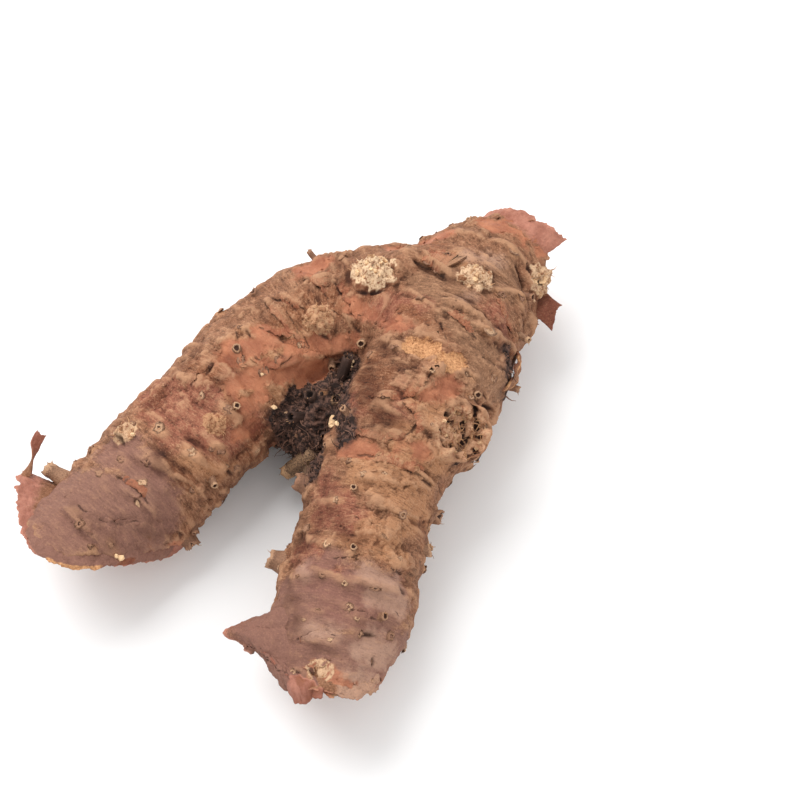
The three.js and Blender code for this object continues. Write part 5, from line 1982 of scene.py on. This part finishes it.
    def broken(self, s: Shader, mottle: Socket, grit: Socket, tint: Socket) -> Socket:
        """Granular ochre bark, crumbs in the scars, cut flesh, slots and soil laid over the bark, with
        painted shade in the slots and in the hollows of the crater and the cut faces.

        Args:
            s: the shader.
            mottle: noise of blotches.
            grit: fine noise.
            tint: colour of the bark.
        Returns:
            The colour.
        """
        granular = s.mix(s.step(s.noise(0.6, 4, 0.7), 0.3, 0.66), self.ochre_dark, self.ochre)
        tint = s.mix(s.step(s.shaken("ochre", mottle, 0.2), 0.46, 0.54), tint, granular)
        crater, flesh = s.field("crater"), s.field("flesh")
        heap = s.mix(s.field("scar_pale"), self.tan, self.pale)
        crumbly = s.mix(s.step(s.noise(0.8, 4, 0.65), 0.3, 0.56), self.rust, heap)
        crumbled = s.math("MAXIMUM", s.math("MAXIMUM", s.field("scar"), crater), s.field("pale"))
        crumbled = s.plus(crumbled, s.times(s.plus(mottle, -0.5), 0.3))
        tint = s.mix(s.step(crumbled, 0.3, 0.75), tint, crumbly)
        tint = s.mix(s.times(crater, 0.42), tint, self.salmon)
        cut = s.mix(s.step(mottle, 0.35, 0.65), self.salmon_dark, self.tan)
        tint = s.mix(s.step(flesh, 0.3, 0.8), tint, cut)
        # Painted shade: the hollows of the crater and of the cut faces darkened
        deep = s.times(s.math("MAXIMUM", crater, flesh), s.step(s.field("hollow"), 0.1, 0.55))
        tint = s.mix(deep, tint, self.dark)
        # Painted shade in the slots
        tint = s.mix(s.step(s.shaken("slot", grit, 0.05), 0.44, 0.54, 0.8), tint, self.dark)
        earth = s.mix(s.step(s.noise(1.3, 5, 0.65), 0.42, 0.66, 0.8), self.soil, self.dust)
        tint = s.mix(s.step(s.shaken("soil", mottle, 0.5), 0.35, 0.6), tint, earth)
        return s.mix(s.step(s.shaken("earth", mottle, 0.5), 0.3, 0.7, 0.9), tint, earth)

    def streaks(self, s: Shader, size: Triple) -> Socket:
        """Noise stretched round the limbs, of a size along and around them in mm."""
        on_stem = s.noise(1, 4, 0.6, s.stretched("grain_stem", size))
        on_arm = s.noise(1, 4, 0.6, s.stretched("grain_arm", size))
        return s.node("ShaderNodeMix", {0: s.field("limb_mix"), 2: on_stem, 3: on_arm}).outputs[0]


@dataclass(frozen=True)
class BandFinish:
    """Collars and stubs: bark at the foot, a pale rim and a dark hole, by the band field."""

    name: str = "rootlet_scars"
    foot: Colour = colour(146, 106, 82)
    rim: Colour = colour(196, 158, 124)
    hole: Colour = colour(62, 36, 25)

    def build(self) -> Material:
        """Makes the material."""
        s = Shader(self.name)
        grit = s.noise(0.4, 4, 0.6)
        band = s.shaken("band", grit, 0.8)
        rim = s.mix(s.step(s.field("own"), 0.3, 1.0), self.foot, self.rim)
        light = s.mix(s.times(s.field("own"), 0.6), self.foot, rim)
        foot = s.mix(s.step(grit, 0.3, 0.65), s.mix(0.5, self.foot, self.hole), light)
        outline = s.times(s.step(band, 0.15, 0.4), s.step(band, 0.75, 0.5, 0.25))
        tint = s.mix(outline, s.mix(s.step(band, 0.5, 0.9), foot, rim), self.hole)
        tint = s.mix(s.step(band, 1.15, 1.5), tint, self.hole)
        return s.finish(tint, s.step(grit, -1, 1, 0.9), s.times(grit, 0.2))


@dataclass(frozen=True)
class GrainFinish:
    """Grains, fibres and flakes: two shades mixed by each one's own draw and by fine noise."""

    name: str
    light: Colour
    dark: Colour

    def build(self) -> Material:
        """Makes the material."""
        s = Shader(self.name, 0.25)
        grit = s.noise(0.45, 4, 0.6)
        share = s.plus(s.times(s.field("own"), 0.7), s.plus(grit, -0.35))
        tint = s.mix(s.step(share, 0.1, 0.75), self.dark, self.light)
        return s.finish(tint, s.step(grit, -1, 1, 0.9), s.times(grit, 0.12))


@dataclass
class Studio:
    """A plain pale floor, a broad soft light from above and the left, and an even white surround."""

    floor_half: float = 2.0
    below: float = 1e-4
    surround: float = 0.9
    key_power: float = 3.6
    fill_power: float = 1.2

    def build(self) -> None:
        """Makes floor, world and lights."""
        bpy.context.scene.view_settings.view_transform = "Standard"
        floor = bpy.data.meshes.new("floor")
        half, low = self.floor_half, -self.below
        corners = [(-half, -half, low), (half, -half, low), (half, half, low), (-half, half, low)]
        floor.from_pydata(corners, [], [(0, 1, 2, 3)])
        pale = Shader("pale_floor", 0.1, 0.9)
        pale.surface.inputs["Base Color"].default_value = (0.86, 0.86, 0.86, 1)
        floor.materials.append(pale.material)
        join(bpy.data.objects.new("floor", floor))
        world = bpy.data.worlds.new("surround")
        world.use_nodes = True
        world.node_tree.nodes["Background"].inputs["Color"].default_value = (1, 1, 1, 1)
        world.node_tree.nodes["Background"].inputs["Strength"].default_value = self.surround
        bpy.context.scene.world = world
        self.lamp("key", (-0.24, 0.26, 0.5), 0.5, self.key_power)
        self.lamp("fill", (0.45, -0.35, 0.5), 0.6, self.fill_power)

    def lamp(self, name: str, place: Triple, size: float, power: float) -> None:
        """One square lamp that looks at the root, place and size in metres, power in watts."""
        data = bpy.data.lights.new(name, "AREA")
        data.size = size
        data.energy = power
        lamp = join(bpy.data.objects.new(name, data))
        lamp.location = place
        lamp.rotation_euler = (-Vector(place)).to_track_quat("-Z", "Y").to_euler()


def main() -> None:
    """Builds the camera, the studio and every piece of the root."""
    logging.basicConfig(level=logging.INFO, format="%(name)s: %(message)s")
    camera = PhotoCamera()
    camera.place()
    Studio().build()
    bark = BarkFinish().build()
    sheets = BarkFinish("loose_bark", salmon=colour(182, 122, 102), salmon_dark=colour(150, 92, 74)).build()
    bands = BandFinish().build()
    dead = BandFinish("dead_shoots", colour(66, 46, 38), colour(190, 150, 112), colour(30, 20, 16)).build()
    crumbs = GrainFinish("pale_crumbs", colour(226, 190, 148), colour(146, 100, 70)).build()
    fibres = GrainFinish("torn_fibres", colour(196, 150, 110), colour(126, 82, 56)).build()
    soil = GrainFinish("black_soil", colour(124, 90, 74), colour(36, 25, 21)).build()

    rhizome = Rhizome()
    form = rhizome.grow()
    rhizome.ease(form)
    skin = Skin(form, STEM.locate(form.points), ARM.locate(form.points), rhizome.noise)
    lookup = Lookup(form, camera)
    mounds = Mounds.scatter(lookup, camera)
    Relief(skin, lookup, camera).apply(mounds)
    add_piece("rhizome_bark", form.mesh, bark)
    lookup = Lookup(form, camera)
    LooseBark(rhizome.noise).build(sheets)
    rootlets = Rootlets(mounds, lookup)
    rootlets.rings(bands)
    crotch = Crotch(skin, lookup)
    tips = (rootlets.stand(bands), crotch.shoots(dead))
    crotch.soil(soil)
    tissue = BrokenTissue(skin, lookup)
    tissue.crumbs(crumbs)
    tissue.fibres(fibres, tips)
    BarkLips(skin, lookup).build(bark)
    BarkFlakes(skin, lookup).build(bark)


if __name__ == "__main__":
    main()
